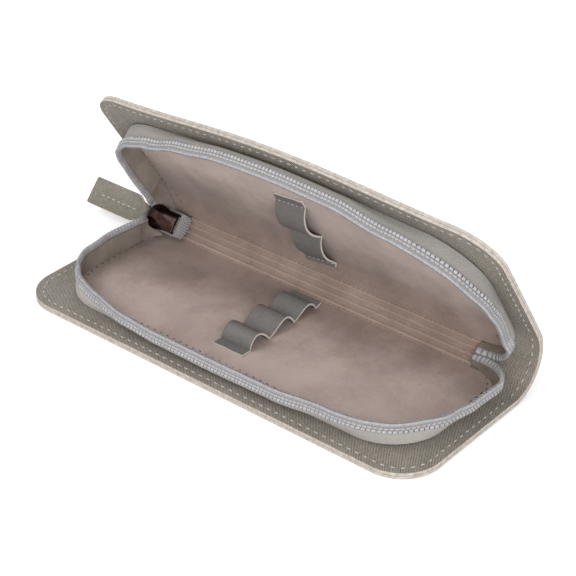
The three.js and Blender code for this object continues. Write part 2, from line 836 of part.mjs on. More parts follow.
// Zip tail: the tape curls from the slider's flat channel to the arc of the spine
function addTail() {
  const bow = (x, radius, t, share) => {
    const turn = sliderAngle + (t - sliderDrop) / radius;
    const flat = atSlider(x, t, radius - sliderRadius);
    const curved = onSpine(x, turn, spineInnerRadius - radius);
    return flat.lerp(curved, share);
  };
  const startX = tailInset - caseLength / 2;
  const tailPath = tailShares.map(([run, fall]) => [
    startX + run * tailLength,
    sliderRadius + fall * tailDescent,
  ]);
  const rows = tailPath.map(([x, radius], i) => {
    const [x0, r0] = tailPath[Math.max(0, i - 1)];
    const [x1, r1] = tailPath[Math.min(tailPath.length - 1, i + 1)];
    const long = Math.hypot(x1 - x0, r1 - r0);
    const offX = ((r0 - r1) / long) * (tailTape / 2);
    const offR = ((x1 - x0) / long) * (tailTape / 2);
    const share = THREE.MathUtils.smoothstep(i / (tailPath.length - 1), 1 / 3, 1);
    const columns = [];
    for (let c = 0; c <= tailColumns; c += 1) {
      const t = tailWidth * (c / tailColumns - 1 / 2);
      columns.push([bow(x + offX, radius + offR, t, share), bow(x - offX, radius - offR, t, share)]);
    }
    return columns;
  });
  addSheet("zip_tail_tape", rows, weave);
  const low = tailTape / 2 + chainGap;
  const half = chainWidth / 2;
  const rings = chainShares.map((share) =>
    [[-half, low], [half, low], [half, low + chainHeight], [-half, low + chainHeight]].map(([t, o]) =>
      atSlider(startX + share * tailLength, t, o),
    ),
  );
  addBar("zip_tail_chain", rings, [[0, 0], [1, 0], [1, 1], [0, 1]], nylon);
}

for (const [half, name, leftShares, rightShares] of [
  [lower, "lower", lowerLeftShares, lowerRightShares],
  [upper, "upper", upperLeftShares, upperRightShares],
]) {
  addCover(half, name);
  addSuede(half, name);
  addWall(half, name);
  addCoil(half, name);
  addTapeEnd(name + "_left_tape_end", half, -1, leftShares, weave);
  addTapeEnd(name + "_right_tape_end", half, 1, rightShares, weave);
}
addSpine();
addStrips();
addSlider();
addLink();
addTab();
addTail();

export default group;
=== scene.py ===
# %% [markdown]
# A zip-round case for tweezers, lying open on its soft spine. The real one is a grained leather
# cover, folded once, with a sewn pocket on each half and a nylon zip that runs round three sides.
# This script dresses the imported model: it takes each solid's place and builds the leather, suede,
# tape, coil and thread that the solid only stands for.

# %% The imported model
import math
from functools import partial

import bmesh
import bpy
from mathutils import Matrix, Vector


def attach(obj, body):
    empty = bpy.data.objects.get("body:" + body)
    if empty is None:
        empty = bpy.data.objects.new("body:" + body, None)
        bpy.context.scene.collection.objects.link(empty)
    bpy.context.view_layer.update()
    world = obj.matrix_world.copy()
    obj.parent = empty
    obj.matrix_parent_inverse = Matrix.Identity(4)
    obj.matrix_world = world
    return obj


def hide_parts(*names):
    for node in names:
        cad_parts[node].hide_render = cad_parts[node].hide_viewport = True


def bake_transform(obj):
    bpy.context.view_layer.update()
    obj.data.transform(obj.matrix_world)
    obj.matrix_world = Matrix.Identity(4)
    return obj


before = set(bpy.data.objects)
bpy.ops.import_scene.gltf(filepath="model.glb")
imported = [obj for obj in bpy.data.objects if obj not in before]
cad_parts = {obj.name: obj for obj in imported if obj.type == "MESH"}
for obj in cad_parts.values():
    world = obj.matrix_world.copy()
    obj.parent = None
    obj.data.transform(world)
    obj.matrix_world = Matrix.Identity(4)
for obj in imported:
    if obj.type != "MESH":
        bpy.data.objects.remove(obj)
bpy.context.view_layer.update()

# %% [markdown]
# Everything is worked out in millimetres, in the way a case maker thinks: x along the case, v from
# the fold to the front edge, n off the inner face of the cover. A flat piece is cut in those three
# numbers and only then wrapped into place, so the same few functions carry every piece.

# %% Sizes of the case, in millimetres
MM = 0.001
HALVES = ("lower", "upper")
CASE_LENGTH, PANEL_DEPTH, CORNER = 174.8, 57.2, 15.0
COVER = 2.2
SPINE_RADIUS = 12.9
OPEN_ANGLE = math.radians(58.2)
SPINE_ARC = math.pi - OPEN_ANGLE
CENTRE_Z = COVER + SPINE_RADIUS
POCKET_HALF, POCKET_DEPTH, POCKET_CORNER = 78.5, 48.5, 20.0
MID_SPINE = -SPINE_RADIUS * SPINE_ARC / 2
print("half of the spine, along its inner face:", round(-MID_SPINE, 2), "mm")

# %% [markdown]
# A stiffened panel is never quite flat. The raised half of this case is bowed a little: its free
# edge stands back in the middle and comes forward at the corners. It has also sagged at its left
# end, which lies nearer the fold and a little further in. Both grow with the distance from the
# fold, so two small terms give them to every piece of the half at once.

# %% Bow and sag of the raised half
BOW_DEPTH, BOW_CENTRE, BOW_REACH, BOW_POWER = 1.2, 3, 80, 1.3
SAG_FROM, SAG_TO, SAG_ALONG, SAG_DOWN = 10, 88, 1.5, 2.9


def mix(a, b, share):
    return a + (b - a) * share


def spread(a, b, count):
    return [mix(a, b, i / count) for i in range(count + 1)]


def smoothstep(value, low, high):
    t = min(1.0, max(0.0, (value - low) / (high - low)))
    return t * t * (3 - 2 * t)


def bow(x, v):
    across = -BOW_DEPTH * math.cos(math.pi * min(abs(x - BOW_CENTRE), BOW_REACH) / BOW_REACH)
    return across * (v / PANEL_DEPTH) ** BOW_POWER


def sag(x, v):
    share = smoothstep(-x, SAG_FROM, SAG_TO) * v / PANEL_DEPTH
    return x + SAG_ALONG * share, v - SAG_DOWN * share


print("bow at the middle of the free edge:", round(bow(BOW_CENTRE, PANEL_DEPTH), 2), "mm")

# %% From the cut pieces to the case
def in_metres(x, y, z):
    return Vector((x, y + PANEL_DEPTH / 2, z)) * MM


def on_spine(x, angle, n):
    radius = SPINE_RADIUS - n
    return in_metres(x, radius * math.sin(angle), CENTRE_Z - radius * math.cos(angle))


def on_half(half, x, v, n):
    if half == "lower":
        return in_metres(x, -v, COVER + n)
    if v > 0:
        n += bow(x, v)
        x, v = sag(x, v)
    s, c = math.sin(OPEN_ANGLE), math.cos(OPEN_ANGLE)
    fold_y = SPINE_RADIUS * math.sin(SPINE_ARC)
    fold_z = CENTRE_Z - SPINE_RADIUS * math.cos(SPINE_ARC)
    return in_metres(x, fold_y - v * c - n * s, fold_z + v * s - n * c)


def over_fold(half, x, v, n):
    if v >= 0:
        return on_half(half, x, v, n)
    turn = -v / SPINE_RADIUS
    return on_spine(x, turn if half == "lower" else SPINE_ARC - turn, n)


print("folds:", {half: tuple(round(c, 4) for c in on_half(half, 0, 0, 0)) for half in HALVES})

# %% [markdown]
# The zip wall stands on a line that runs up one side of the pocket, round two corners and down the
# other side. Its foot leans out far over the cover at the front, because the soft tape is pushed
# outwards, and its rim, stiffened by the coil, stands nearly upright. A short table gives the lean
# of foot and rim in degrees along the way, and the wall is summed up from those. Nothing this soft
# is the same twice, so a second table says how far each half's rim has swelled out or fallen in.

# %% The zip wall
WALL_BACK = 4.6
WALL_SIDE = POCKET_DEPTH - POCKET_CORNER - WALL_BACK
WALL_CORNER = math.pi / 2 * POCKET_CORNER
WALL_LENGTH = 2 * (WALL_SIDE + WALL_CORNER + POCKET_HALF - POCKET_CORNER)
WALL_STEPS, SWELL_HEIGHT = 12, 9
TAPE_HEIGHT, TAPE_FOOT, BEND_FROM, BEND_TO = 9.9, 0.55, 2.4, 6.1
LEAN_ROWS = [
    (0, -8, -8), (0.105, -8, -8), (0.174, 2, 2), (0.22, 16, 8), (0.26, 36, 10), (0.32, 60, 10),
    (0.4, 74, 8), (0.5, 76, 6), (0.62, 70, 8), (0.72, 38, 14), (0.8, 16, 16), (0.85, 12, 16),
    (0.895, 30, 18), (0.94, 50, 16), (1, 50, 16),
]
SWELLS = {
    "lower": [(0, 0.3), (0.06, 1.3), (0.115, 0.0), (0.16, -1.5), (0.2, -2.1), (0.24, -1.9),
              (0.29, -0.9), (0.34, 0), (0.84, 0), (0.88, 0.3), (0.95, 0.5), (1, 0.9)],
    "upper": [(0, 0.3), (0.05, 0.9), (0.11, -0.1), (0.15, -1.3), (0.2, -1.9), (0.27, -1.9),
              (0.34, -0.9), (0.42, 0), (0.9, 0), (0.95, -0.9), (1, -2.2)],
}


def from_rows(rows, share):
    """The values of a table at a share of the way, eased from one row to the next."""
    for (a, *low), (b, *high) in zip(rows, rows[1:]):
        if share <= b:
            part = smoothstep(share, a, b)
            return [mix(before, after, part) for before, after in zip(low, high)]
    return list(rows[-1][1:])


def wall_stand(distance):
    """x and v of the wall's foot, and the way out from the pocket there."""
    second = distance > WALL_LENGTH / 2
    d = WALL_LENGTH - distance if second else distance
    side = 1 if second else -1
    if d <= WALL_SIDE:
        return side * POCKET_HALF, WALL_BACK + d, side, 0
    straight_x, straight_v = POCKET_HALF - POCKET_CORNER, POCKET_DEPTH - POCKET_CORNER
    if d <= WALL_SIDE + WALL_CORNER:
        turn = (d - WALL_SIDE) / POCKET_CORNER
        out_x, out_v = side * math.cos(turn), math.sin(turn)
        x, v = side * straight_x + out_x * POCKET_CORNER, straight_v + out_v * POCKET_CORNER
        return x, v, out_x, out_v
    along = d - WALL_SIDE - WALL_CORNER
    return -side * (along - straight_x), POCKET_DEPTH, 0, 1


def on_wall(half, distance, height, off):
    x, v, out_x, out_v = wall_stand(distance)
    share = min(1.0, distance / WALL_LENGTH)
    foot, rim = (math.radians(lean) for lean in from_rows(LEAN_ROWS, share))
    swell, = from_rows(SWELLS[half], share)
    out, up, step = swell * smoothstep(height, 0, SWELL_HEIGHT), TAPE_FOOT, height / WALL_STEPS
    for i in range(WALL_STEPS):
        lean = mix(foot, rim, smoothstep((i + 0.5) * step, BEND_FROM, BEND_TO))
        out += math.sin(lean) * step
        up += math.cos(lean) * step
    lean = mix(foot, rim, smoothstep(height, BEND_FROM, BEND_TO))
    out += off * math.cos(lean)
    up -= off * math.sin(lean)
    return on_half(half, x + out * out_x, v + out * out_v, up)


rim_middle = on_wall("lower", WALL_LENGTH / 2, TAPE_HEIGHT, 0)
print("zip wall:", round(WALL_LENGTH, 1), "mm, rim at", rim_middle)

# %% [markdown]
# The camera looks down at the case from its front right, as a catalogue picture does. Its place and
# lens come from matching the case's long straight edges, so they are written down once and the rest
# is built to fit.

# %% Camera
scene = bpy.context.scene


def linked(name, data):
    made = bpy.data.objects.new(name, data)
    scene.collection.objects.link(made)
    return made


def aim(thing, place, target):
    thing.location = place
    thing.rotation_euler = (Vector(target) - Vector(place)).to_track_quat("-Z", "Y").to_euler()


camera = linked("camera", bpy.data.cameras.new("camera"))
camera.data.lens = 111.72
camera.data.sensor_width = 36
aim(camera, (0.33585, -0.38393, 0.34190), (0.021077, -0.007522, 0.036895))
scene.camera = camera
scene.view_settings.view_transform = "Standard"
print("camera:", camera.location[:], "lens", round(camera.data.lens, 2), "mm")

# %% [markdown]
# Shaders are written as sums. A small class holds one socket, and its operators add Math nodes, so
# a height or a mask reads like the formula it is. Colours and vectors have nodes of their own,
# because a Math node would turn a colour grey. Another class holds a node tree, and one more the
# finish of one material.

# %% Shader expressions
class Value:
    def __init__(self, net, socket):
        self.net, self.socket = net, socket

    def join(self, operation, first, second):
        return self.net.node("ShaderNodeMath", {"operation": operation}, {0: first, 1: second})

    def __add__(self, other):
        return self.join("ADD", self, other)

    def __radd__(self, other):
        return self.join("ADD", other, self)

    def __sub__(self, other):
        return self.join("SUBTRACT", self, other)

    def __rsub__(self, other):
        return self.join("SUBTRACT", other, self)

    def __mul__(self, other):
        return self.join("MULTIPLY", self, other)

    def __rmul__(self, other):
        return self.join("MULTIPLY", other, self)


class Net:
    def __init__(self, tree):
        self.tree = tree

    def node(self, kind, settings, inputs, output=0):
        made = self.tree.nodes.new(kind)
        for key, value in settings.items():
            setattr(made, key, value)
        for key, value in inputs.items():
            if isinstance(value, Value):
                self.tree.links.new(value.socket, made.inputs[key])
            else:
                made.inputs[key].default_value = value
        return Value(self, made.outputs[output])

    def show(self, shader, end):
        self.tree.links.new(shader.socket, self.tree.nodes[end].inputs["Surface"])


print("shader expressions ready")

# %% [markdown]
# Studio light for a pale product: a bright even surround, a soft lamp high on the left and a broad
# one low on the right. Only rays from the camera, from gloss or through glass see the pure white;
# what lights the case is calmer, so pale tape and stitches keep their shading.

# %% Light
SURROUND_STRENGTH = 0.76
LAMP_TARGET = (0, 0, 0.02)


def soft_lamp(name, place, width, power):
    lamp = linked(name, bpy.data.lights.new(name, "AREA"))
    lamp.data.size = width
    lamp.data.energy = power
    aim(lamp, place, LAMP_TARGET)


soft_lamp("key lamp", (-0.7, -0.78, 1.3), 0.7, 6.6)
soft_lamp("fill lamp", (1.05, -0.9, 0.4), 0.9, 14)
world = bpy.data.worlds.new("studio")
scene.world = world
world.use_nodes = True
sky = Net(world.node_tree)
surround = sky.tree.nodes["Background"]
surround.inputs["Color"].default_value = (1, 1, 1, 1)
surround.inputs["Strength"].default_value = SURROUND_STRENGTH
backdrop = sky.node("ShaderNodeBackground", {}, {"Color": (1, 1, 1, 1), "Strength": 1})
camera_ray, gloss_ray, glass_ray = (sky.node("ShaderNodeLightPath", {}, {}, "Is " + kind + " Ray")
                                    for kind in ("Camera", "Glossy", "Transmission"))
either = sky.node("ShaderNodeMath", {"operation": "MAXIMUM"}, {0: camera_ray, 1: gloss_ray})
seen = sky.node("ShaderNodeMath", {"operation": "MAXIMUM"}, {0: either, 1: glass_ray})
lights = Value(sky, surround.outputs[0])
sky.show(sky.node("ShaderNodeMixShader", {}, {0: seen, 1: lights, 2: backdrop}), "World Output")

# %% [markdown]
# A finish is one material with its own shader. Patterns that belong to the stuff itself, such as
# grain and pile, read the object's place in metres. Patterns that follow the way a piece was cut,
# such as the pressed hatch and the weave, read the flat cut in millimetres, on which the middle of
# the case and its fold have fixed places.

# %% One material
MIDDLE_ON_CUT, FOLD_ON_CUT = 100, 30


class Finish(Net):
    def __init__(self, name, **constants):
        self.material = bpy.data.materials.new(name)
        self.material.use_nodes = True
        super().__init__(self.material.node_tree)
        self.shader = self.tree.nodes["Principled BSDF"]
        for socket, value in constants.items():
            self.shader.inputs[socket.replace("_", " ")].default_value = value

    def place(self, scale, turn=(0, 0, 0), cut=False):
        source = self.node("ShaderNodeTexCoord", {}, {}, "UV" if cut else "Object")
        inputs = {"Vector": source, "Scale": (scale, scale, scale), "Rotation": turn}
        return self.node("ShaderNodeMapping", {}, inputs)

    def noise(self, scale, detail=3.0, roughness=0.55):
        inputs = {"Vector": self.place(scale), "Scale": 1.0, "Detail": detail,
                  "Roughness": roughness}
        return self.node("ShaderNodeTexNoise", {}, inputs)

    def bands(self, at, direction, distortion, detail, detail_scale=1.0):
        settings = {"wave_type": "BANDS", "bands_direction": direction}
        inputs = {"Vector": at, "Scale": 1.0, "Distortion": distortion, "Detail": detail,
                  "Detail Scale": detail_scale}
        return self.node("ShaderNodeTexWave", settings, inputs, 1)

    def ramp(self, value, low, high):
        inputs = {"Value": value, "From Min": low, "From Max": high}
        return self.node("ShaderNodeMapRange", {"interpolation_type": "SMOOTHSTEP"}, inputs)

    def blend(self, first, second, factor):
        inputs = {0: factor, 6: first, 7: second}
        return self.node("ShaderNodeMix", {"data_type": "RGBA"}, inputs, 2)

    def colour(self, value):
        self.tree.links.new(value.socket, self.shader.inputs["Base Color"])

    def rough(self, value):
        self.tree.links.new(value.socket, self.shader.inputs["Roughness"])

    def bump(self, height, depth, strength):
        inputs = {"Height": height, "Distance": depth, "Strength": strength}
        relief = self.node("ShaderNodeBump", {}, inputs)
        self.tree.links.new(relief.socket, self.shader.inputs["Normal"])


def paint(red, green, blue):
    """A colour as a screen shows it, turned into the light that Blender mixes."""
    return tuple(c / 12.92 if c <= 0.04045 else ((c + 0.055) / 1.055) ** 2.4
                 for c in (red / 255, green / 255, blue / 255)) + (1.0,)


def mottled(name, dark, pale, mottle, grain, relief, limits=None, **constants):
    """A plain finish: two shades in a noise of their own, and a finer grain for its relief."""
    finish = Finish(name, **constants)
    clouds = finish.noise(*mottle)
    finish.colour(finish.blend(dark, pale, finish.ramp(clouds, *limits) if limits else clouds))
    finish.bump(finish.noise(*grain), *relief)
    return finish.material


print("mid grey on a screen mixes as", round(paint(128, 128, 128)[0], 3))

# %% [markdown]
# The cover's leather has a pressed cross-hatch, so fine that at arm's length it only breaks up the
# light. It is drawn on the flat cut, as the press does it: two sets of ridges, crossed, one of them
# deeper, with a little unevenness, and a colour that is paler where the ridges rub.

# %% Leather finishes
HATCH_SCALE, HATCH_TURNS = 0.64, (40, -50)


def cross_hatch(finish):
    places = [finish.place(HATCH_SCALE, turn=(0, 0, math.radians(turn)), cut=True)
              for turn in HATCH_TURNS]
    deep, shallow = (finish.bands(at, "X", distortion=3.6, detail=4.0, detail_scale=1.6)
                     for at in places)
    return deep * 0.7 + shallow * 0.3


def grained_leather(name, pale, dark):
    leather = Finish(name, Roughness=0.62, Specular_IOR_Level=0.35)
    hatch = cross_hatch(leather)
    clouds = leather.noise(90, 4.0, 0.6)
    specks = leather.noise(1100, 4.0, 0.75)
    worn = leather.ramp(hatch * 0.65 + clouds * 0.3 + specks * 0.6, 0.54, 0.98)
    leather.colour(leather.blend(dark, pale, worn))
    leather.rough(0.72 - worn * 0.14)
    leather.bump(hatch * 0.6 + specks * 0.7, 0.00022, 0.75)
    return leather.material


outer_leather = grained_leather("taupe grained leather", paint(156, 150, 138), paint(82, 77, 67))
facing_leather = grained_leather("taupe facing leather", paint(166, 159, 149), paint(87, 81, 74))
edge_paint = mottled("painted cut edge", paint(160, 150, 140), paint(200, 190, 180),
                     mottle=(700, 4.0, 0.6), grain=(1400, 3.0), relief=(0.00008, 0.5),
                     limits=(0.25, 0.75), Roughness=0.5, Coat_Weight=0.15)
tab_edge = mottled("painted pull edge", paint(196, 180, 166), paint(222, 208, 194),
                   mottle=(900, 2.0), grain=(1400, 2.0), relief=(0.00005, 0.4),
                   Roughness=0.45, Coat_Weight=0.15)
strap_edge = mottled("raw strap edge", paint(188, 180, 172), paint(214, 208, 202),
                     mottle=(1200, 2.0), grain=(1800, 2.0), relief=(0.00005, 0.4), Roughness=0.7)

band = Finish("strap leather", Roughness=0.5, Specular_IOR_Level=0.4)
pores = band.noise(2200, 2.0)
band.colour(band.blend(paint(101, 98, 96), paint(113, 110, 108),
                       band.ramp(band.noise(900, 3.0), 0.2, 0.8)))
band.rough(0.46 + pores * 0.16)
band.bump(pores, 0.00006, 0.6)
strap_finish = band.material
print("leather:", outer_leather.name, facing_leather.name, strap_finish.name)

# %% [markdown]
# Suede has a short nap that scatters light, so it is rough all over, with a faint sheen and a
# cloudy colour where the nap lies one way or the other. In the pocket, shade is painted into it:
# darker near the fold and towards the left end, paler towards the front, found on the flat cut.
# The lining of the walls is a smooth cloth, and a darker copy of it paints shade in the corners.

# %% Suede and lining finishes
SHADE_FROM, SHADE_TO = 6, 36


def napped(name, pale, dark, nap, fold_shade=None):
    suede = Finish(name, Roughness=0.95, Sheen_Weight=0.18, Sheen_Roughness=0.6,
                   Specular_IOR_Level=0.15)
    clouds = suede.noise(55, 5.0, 0.62)
    pile = suede.noise(1700, 4.0, 0.7)
    lay = suede.ramp(clouds * 0.62 + pile * 0.42, 0.36, 0.68)
    brushed = suede.blend(dark, pale, lay)
    # Painted shade: near the fold and towards the left end the colour is mixed towards a darker
    # pair.
    if fold_shade:
        cut = suede.place(1, cut=True)
        along = suede.node("ShaderNodeSeparateXYZ", {}, {"Vector": cut}, "X") - MIDDLE_ON_CUT
        across = suede.node("ShaderNodeSeparateXYZ", {}, {"Vector": cut}, "Y") - FOLD_ON_CUT
        unshaded = suede.ramp(across + along * 0.15 + clouds * 14, SHADE_FROM, SHADE_TO)
        brushed = suede.blend(suede.blend(*fold_shade, lay), brushed, unshaded)
    suede.colour(brushed)
    suede.bump(pile + suede.noise(420, 3.0) * 0.5, nap, 0.8)
    return suede.material


def lining_cloth(name, dark, pale):
    return mottled(name, dark, pale, mottle=(120, 4.0), grain=(900, 3.0), relief=(0.00008, 0.5),
                   limits=(0.3, 0.7), Roughness=0.65, Specular_IOR_Level=0.25)


# The second pair of colours is painted shade, near the fold and towards the left end.
pink_suede = napped("dusty pink suede", paint(188, 171, 164), paint(166, 148, 140), 0.00018,
                    (paint(122, 105, 96), paint(146, 128, 119)))
rib_suede = napped("ribbed suede", paint(158, 138, 127), paint(130, 111, 100), 0.00014)
# A paler copy of the ribbed suede for the tuck crests: painted highlight.
tuck_highlight_suede = napped("suede on the tucks, painted highlight", paint(170, 150, 139), paint(148, 128, 118), 0.00014)
gusset_finish = lining_cloth("gusset lining", paint(128, 119, 111), paint(144, 135, 127))
# A darker copy of the lining, painted shade, for the inner faces of the tape ends.
shaded_gusset = lining_cloth("gusset lining, painted shade in the corners", paint(106, 97, 89),
                             paint(124, 114, 106))
print("soft finishes:", pink_suede.name, rib_suede.name, tuck_highlight_suede.name, gusset_finish.name)

# %% [markdown]
# The zip tape is a close weave, the coil bright nylon. On the tape a fine slanting rib is enough;
# the coil's shape does the rest. The tape of the raised half is a darker copy, painted shade.

# %% Tape, nylon, thread, metal and board
TAPE_WEAVE, BED_WEAVE = 0.88, 0.64


def woven(name, pale, dark, scale):
    tape = Finish(name, Roughness=0.8, Sheen_Weight=0.12)
    weave = tape.bands(tape.place(scale, cut=True), "DIAGONAL", distortion=1.4, detail=2.0)
    fibres = tape.noise(1300, 3.0, 0.6)
    tape.colour(tape.blend(dark, pale, tape.ramp(weave * 0.3 + fibres * 0.8, 0.3, 0.8)))
    tape.bump(weave * 0.4 + fibres * 0.6, 0.00007, 0.6)
    return tape.material


def thread(name, pale, dark):
    spun = Finish(name, Roughness=0.7, Sheen_Weight=0.2)
    twist = spun.noise(2600, 2.0)
    spun.colour(spun.blend(dark, pale, spun.ramp(twist, 0.3, 0.7)))
    spun.bump(twist, 0.00008, 0.6)
    return spun.material


tape_finishes = {
    "lower": woven("woven zip tape", paint(181, 177, 171), paint(163, 159, 153), TAPE_WEAVE),
    # The raised half's tape is a darker copy of the same tape: painted shade.
    "upper": woven("zip tape with painted shade", paint(162, 158, 153), paint(144, 140, 135), TAPE_WEAVE),
}
# A darker copy of the tape: painted shade under the coil and on the zip tail.
shaded_tape_finish = woven("tape under the coil, painted shade", paint(146, 144, 142), paint(122, 120, 118), BED_WEAVE)
coil_finish = mottled("nylon coil", paint(156, 155, 158), paint(178, 177, 180),
                      mottle=(800, 3.0), grain=(1600, 2.0), relief=(0.00004, 0.4),
                      limits=(0.3, 0.7), Roughness=0.36, Specular_IOR_Level=0.55)
core_finish = mottled("coil's inner side", paint(146, 144, 148), paint(166, 164, 168),
                      mottle=(900, 3.0), grain=(1600, 2.0), relief=(0.00005, 0.5),
                      limits=(0.3, 0.7), Roughness=0.6, Specular_IOR_Level=0.35)
pale_thread = thread("pale sewing thread", paint(212, 206, 197), paint(176, 170, 161))
rib_thread = thread("quilting thread", paint(128, 108, 98), paint(104, 85, 76))
brown_thread = thread("brown sewing thread", paint(112, 90, 82), paint(78, 58, 52))
board_finish = mottled("stiffener board", paint(176, 160, 134), paint(196, 182, 156),
                       mottle=(300, 4.0), grain=(900, 3.0), relief=(0.0001, 0.4), Roughness=0.85)

gun = Finish("dark nickel", Metallic=1.0, Roughness=0.16)
smear = gun.noise(260, 3.0)
gun.colour(gun.blend(paint(34, 28, 27), paint(74, 53, 47), gun.ramp(smear, 0.3, 0.7)))
gun.rough(0.1 + smear * 0.12)
gun_metal = gun.material
print("materials:", len(bpy.data.materials))

# %% [markdown]
# Two kinds of flat piece make most of the case. A panel is square at the back and rounded at its
# two front corners. A sheet is a plain rectangle in any two of the three numbers. Both start as a
# grid, are thickened by one extrusion and get their rim bevelled while still flat, where an offset
# is easy. The wrap comes last.

# %% Cutting flat pieces
EDGE_SLOPE = 0.9


def thicken(bm, height):
    made = bmesh.ops.extrude_face_region(bm, geom=bm.faces[:])
    lifted = [item for item in made["geom"] if isinstance(item, bmesh.types.BMVert)]
    bmesh.ops.translate(bm, verts=lifted, vec=(0, 0, height))
    bmesh.ops.recalc_face_normals(bm, faces=bm.faces)


def cut_sheet(columns, rows, across, along, low, high):
    """A rectangle that runs over the two ranges, from low to high in the third number."""
    bm = bmesh.new()
    bmesh.ops.create_grid(bm, x_segments=columns, y_segments=rows, size=0.5)
    for vert in bm.verts:
        vert.co = (mix(*across, vert.co.x + 0.5), mix(*along, vert.co.y + 0.5), low)
    thicken(bm, high - low)
    return bm


def cut_panel(half_length, back, front, radius, low, high, columns, rows):
    bm = bmesh.new()
    bmesh.ops.create_grid(bm, x_segments=columns, y_segments=rows, size=0.5)
    for vert in bm.verts:
        x = half_length * math.sin(math.pi * vert.co.x)
        past = max(0.0, abs(x) - (half_length - radius))
        reach = front - radius + math.sqrt(max(0.0, radius**2 - past**2))
        vert.co = (x, mix(back, reach, vert.co.y + 0.5), low)
    thicken(bm, high - low)
    return bm


def round_rim(bm, radius, keep=None):
    rim = [e for e in bm.edges if e.is_manifold and e.calc_face_angle() > 1.0]
    if keep:
        rim = [e for e in rim if not all(keep(vert.co) for vert in e.verts)]
    bmesh.ops.bevel(bm, geom=rim, offset=radius, offset_type="OFFSET", segments=2, profile=0.5,
                    affect="EDGES", material=-1, clamp_overlap=True)


def paint_edge(bm):
    for face in bm.faces:
        if abs(face.normal.z) < EDGE_SLOPE:
            face.material_index = 1


def lay_cut(bm):
    """Keeps the flat cut as a UV map, in millimetres, for the hatch and the weave."""
    cut = bm.loops.layers.uv.new("cut")
    for face in bm.faces:
        for loop in face.loops:
            x, v, n = loop.vert.co
            loop[cut].uv = (x + MIDDLE_ON_CUT, v + n + FOLD_ON_CUT)


trial = cut_panel(POCKET_HALF, 0, POCKET_DEPTH, POCKET_CORNER, 0, 1, columns=40, rows=20)
round_rim(trial, 0.3)
print("a trial panel with a round rim has", len(trial.verts), "points")
trial.free()

# %% Wrapping them into place
FOLD_REACH = 4.0


def as_piece(name, bm, finishes):
    mesh = bpy.data.meshes.new(name)
    bm.to_mesh(mesh)
    bm.free()
    for finish in finishes:
        mesh.materials.append(finish)
    mesh.shade_smooth()
    return linked(name, mesh)


def finished(name, bm, place, finishes, smooth=38):
    """Wraps a cut piece into place. Edges sharper than smooth, in degrees, stay crisp."""
    for vert in bm.verts:
        vert.co = place(*vert.co)
    bmesh.ops.recalc_face_normals(bm, faces=bm.faces)
    piece = as_piece(name, bm, finishes)
    piece.data.set_sharp_from_angle(angle=math.radians(smooth))
    return piece


def blend_at_fold(piece, half):
    before, after = over_fold(half, 0, -FOLD_REACH, 0), on_half(half, 0, FOLD_REACH, 0)
    if half == "lower":
        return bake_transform(piece)
    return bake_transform(piece)


print("a fold bends over", 2 * FOLD_REACH, "mm")

# %% [markdown]
# The cover is two plies, glued and painted along the cut edge. Each is one piece of leather from
# the front edge over the fold to the middle of the spine, where it meets its twin. The inner ply is
# skived thin over the stiffener board, which lies in the hollow.

# %% Cover
OUTER_PLY, INNER_PLY = 1.02, 1.1
HOLLOW_SIDE, HOLLOW_NEAR, HOLLOW_FAR, HOLLOW_CORNER = POCKET_HALF - 3.6, 5.0, POCKET_DEPTH - 3.6, 10
SKIVED = 0.1


def over_board(x, v):
    inside = abs(x) < HOLLOW_SIDE and HOLLOW_NEAR < v < HOLLOW_FAR
    return inside and abs(x) + v < HOLLOW_SIDE + HOLLOW_FAR - HOLLOW_CORNER


def cover_ply(half, name, low, high, finish):
    bm = cut_panel(CASE_LENGTH / 2, MID_SPINE, PANEL_DEPTH, CORNER, low, high, columns=96, rows=64)
    lay_cut(bm)
    round_rim(bm, 0.3, keep=lambda at: at.y < MID_SPINE + 0.01)
    paint_edge(bm)
    if low > -COVER:
        for vert in bm.verts:
            if vert.co.z < low + 0.1 and over_board(vert.co.x, vert.co.y):
                vert.co.z = high - SKIVED
    return finished(name, bm, partial(over_fold, half), [finish, edge_paint])


for half in HALVES:
    outer = cover_ply(half, half + "_cover", -COVER, OUTER_PLY - COVER, outer_leather)
    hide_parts(half + "_cover_outer", "spine_cover_outer")
    facing = cover_ply(half, half + "_facing", -INNER_PLY, 0.0, facing_leather)
    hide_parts(half + "_cover_facing", "spine_cover_facing")
    for piece in (outer, facing):
        blend_at_fold(piece, half)
    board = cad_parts[half + "_stiffener_board"]
    board.data.materials.clear()
    board.data.materials.append(board_finish)
print("cover plies:", 2 * len(HALVES), "of", OUTER_PLY, "and", INNER_PLY, "mm")

# %% [markdown]
# Stitches are small sunken grains of thread. One is a six-sided ball, drawn out along the seam, and
# a row of them is made by walking along the seam at the stitch length. A seam is a list of points,
# each with the way up from the leather there.

# %% Stitching
COVER_STITCH = (3.3, 1.8, 0.42, 0.3)


def stitch_row(bm, points, pitch, length, width, height):
    lengths = [0.0]
    for a, b in zip(points, points[1:]):
        lengths.append(lengths[-1] + (b[0] - a[0]).length)
    count = max(1, round(lengths[-1] / (pitch * MM)))
    grain = Matrix.Diagonal((length * MM, width * MM, height * MM, 1))
    where = 0
    for stitch in range(count):
        target = (stitch + 0.5) * lengths[-1] / count
        while where < len(points) - 2 and lengths[where + 1] < target:
            where += 1
        (a, up_a), (b, up_b) = points[where], points[where + 1]
        share = (target - lengths[where]) / max(1e-9, lengths[where + 1] - lengths[where])
        along = (b - a).normalized()
        up = up_a.lerp(up_b, share)
        side = up.cross(along).normalized()
        turn = Matrix((along, side, along.cross(side))).transposed().to_4x4()
        at = Matrix.Translation(a.lerp(b, share)) @ turn @ grain
        bmesh.ops.create_uvsphere(bm, u_segments=6, v_segments=4, radius=0.5, matrix=at)
    return count


def seam(place, path, lift):
    points = []
    for a, b in path:
        low, high = place(a, b, lift), place(a, b, lift + 1)
        points.append((low, (high - low).normalized()))
    return points


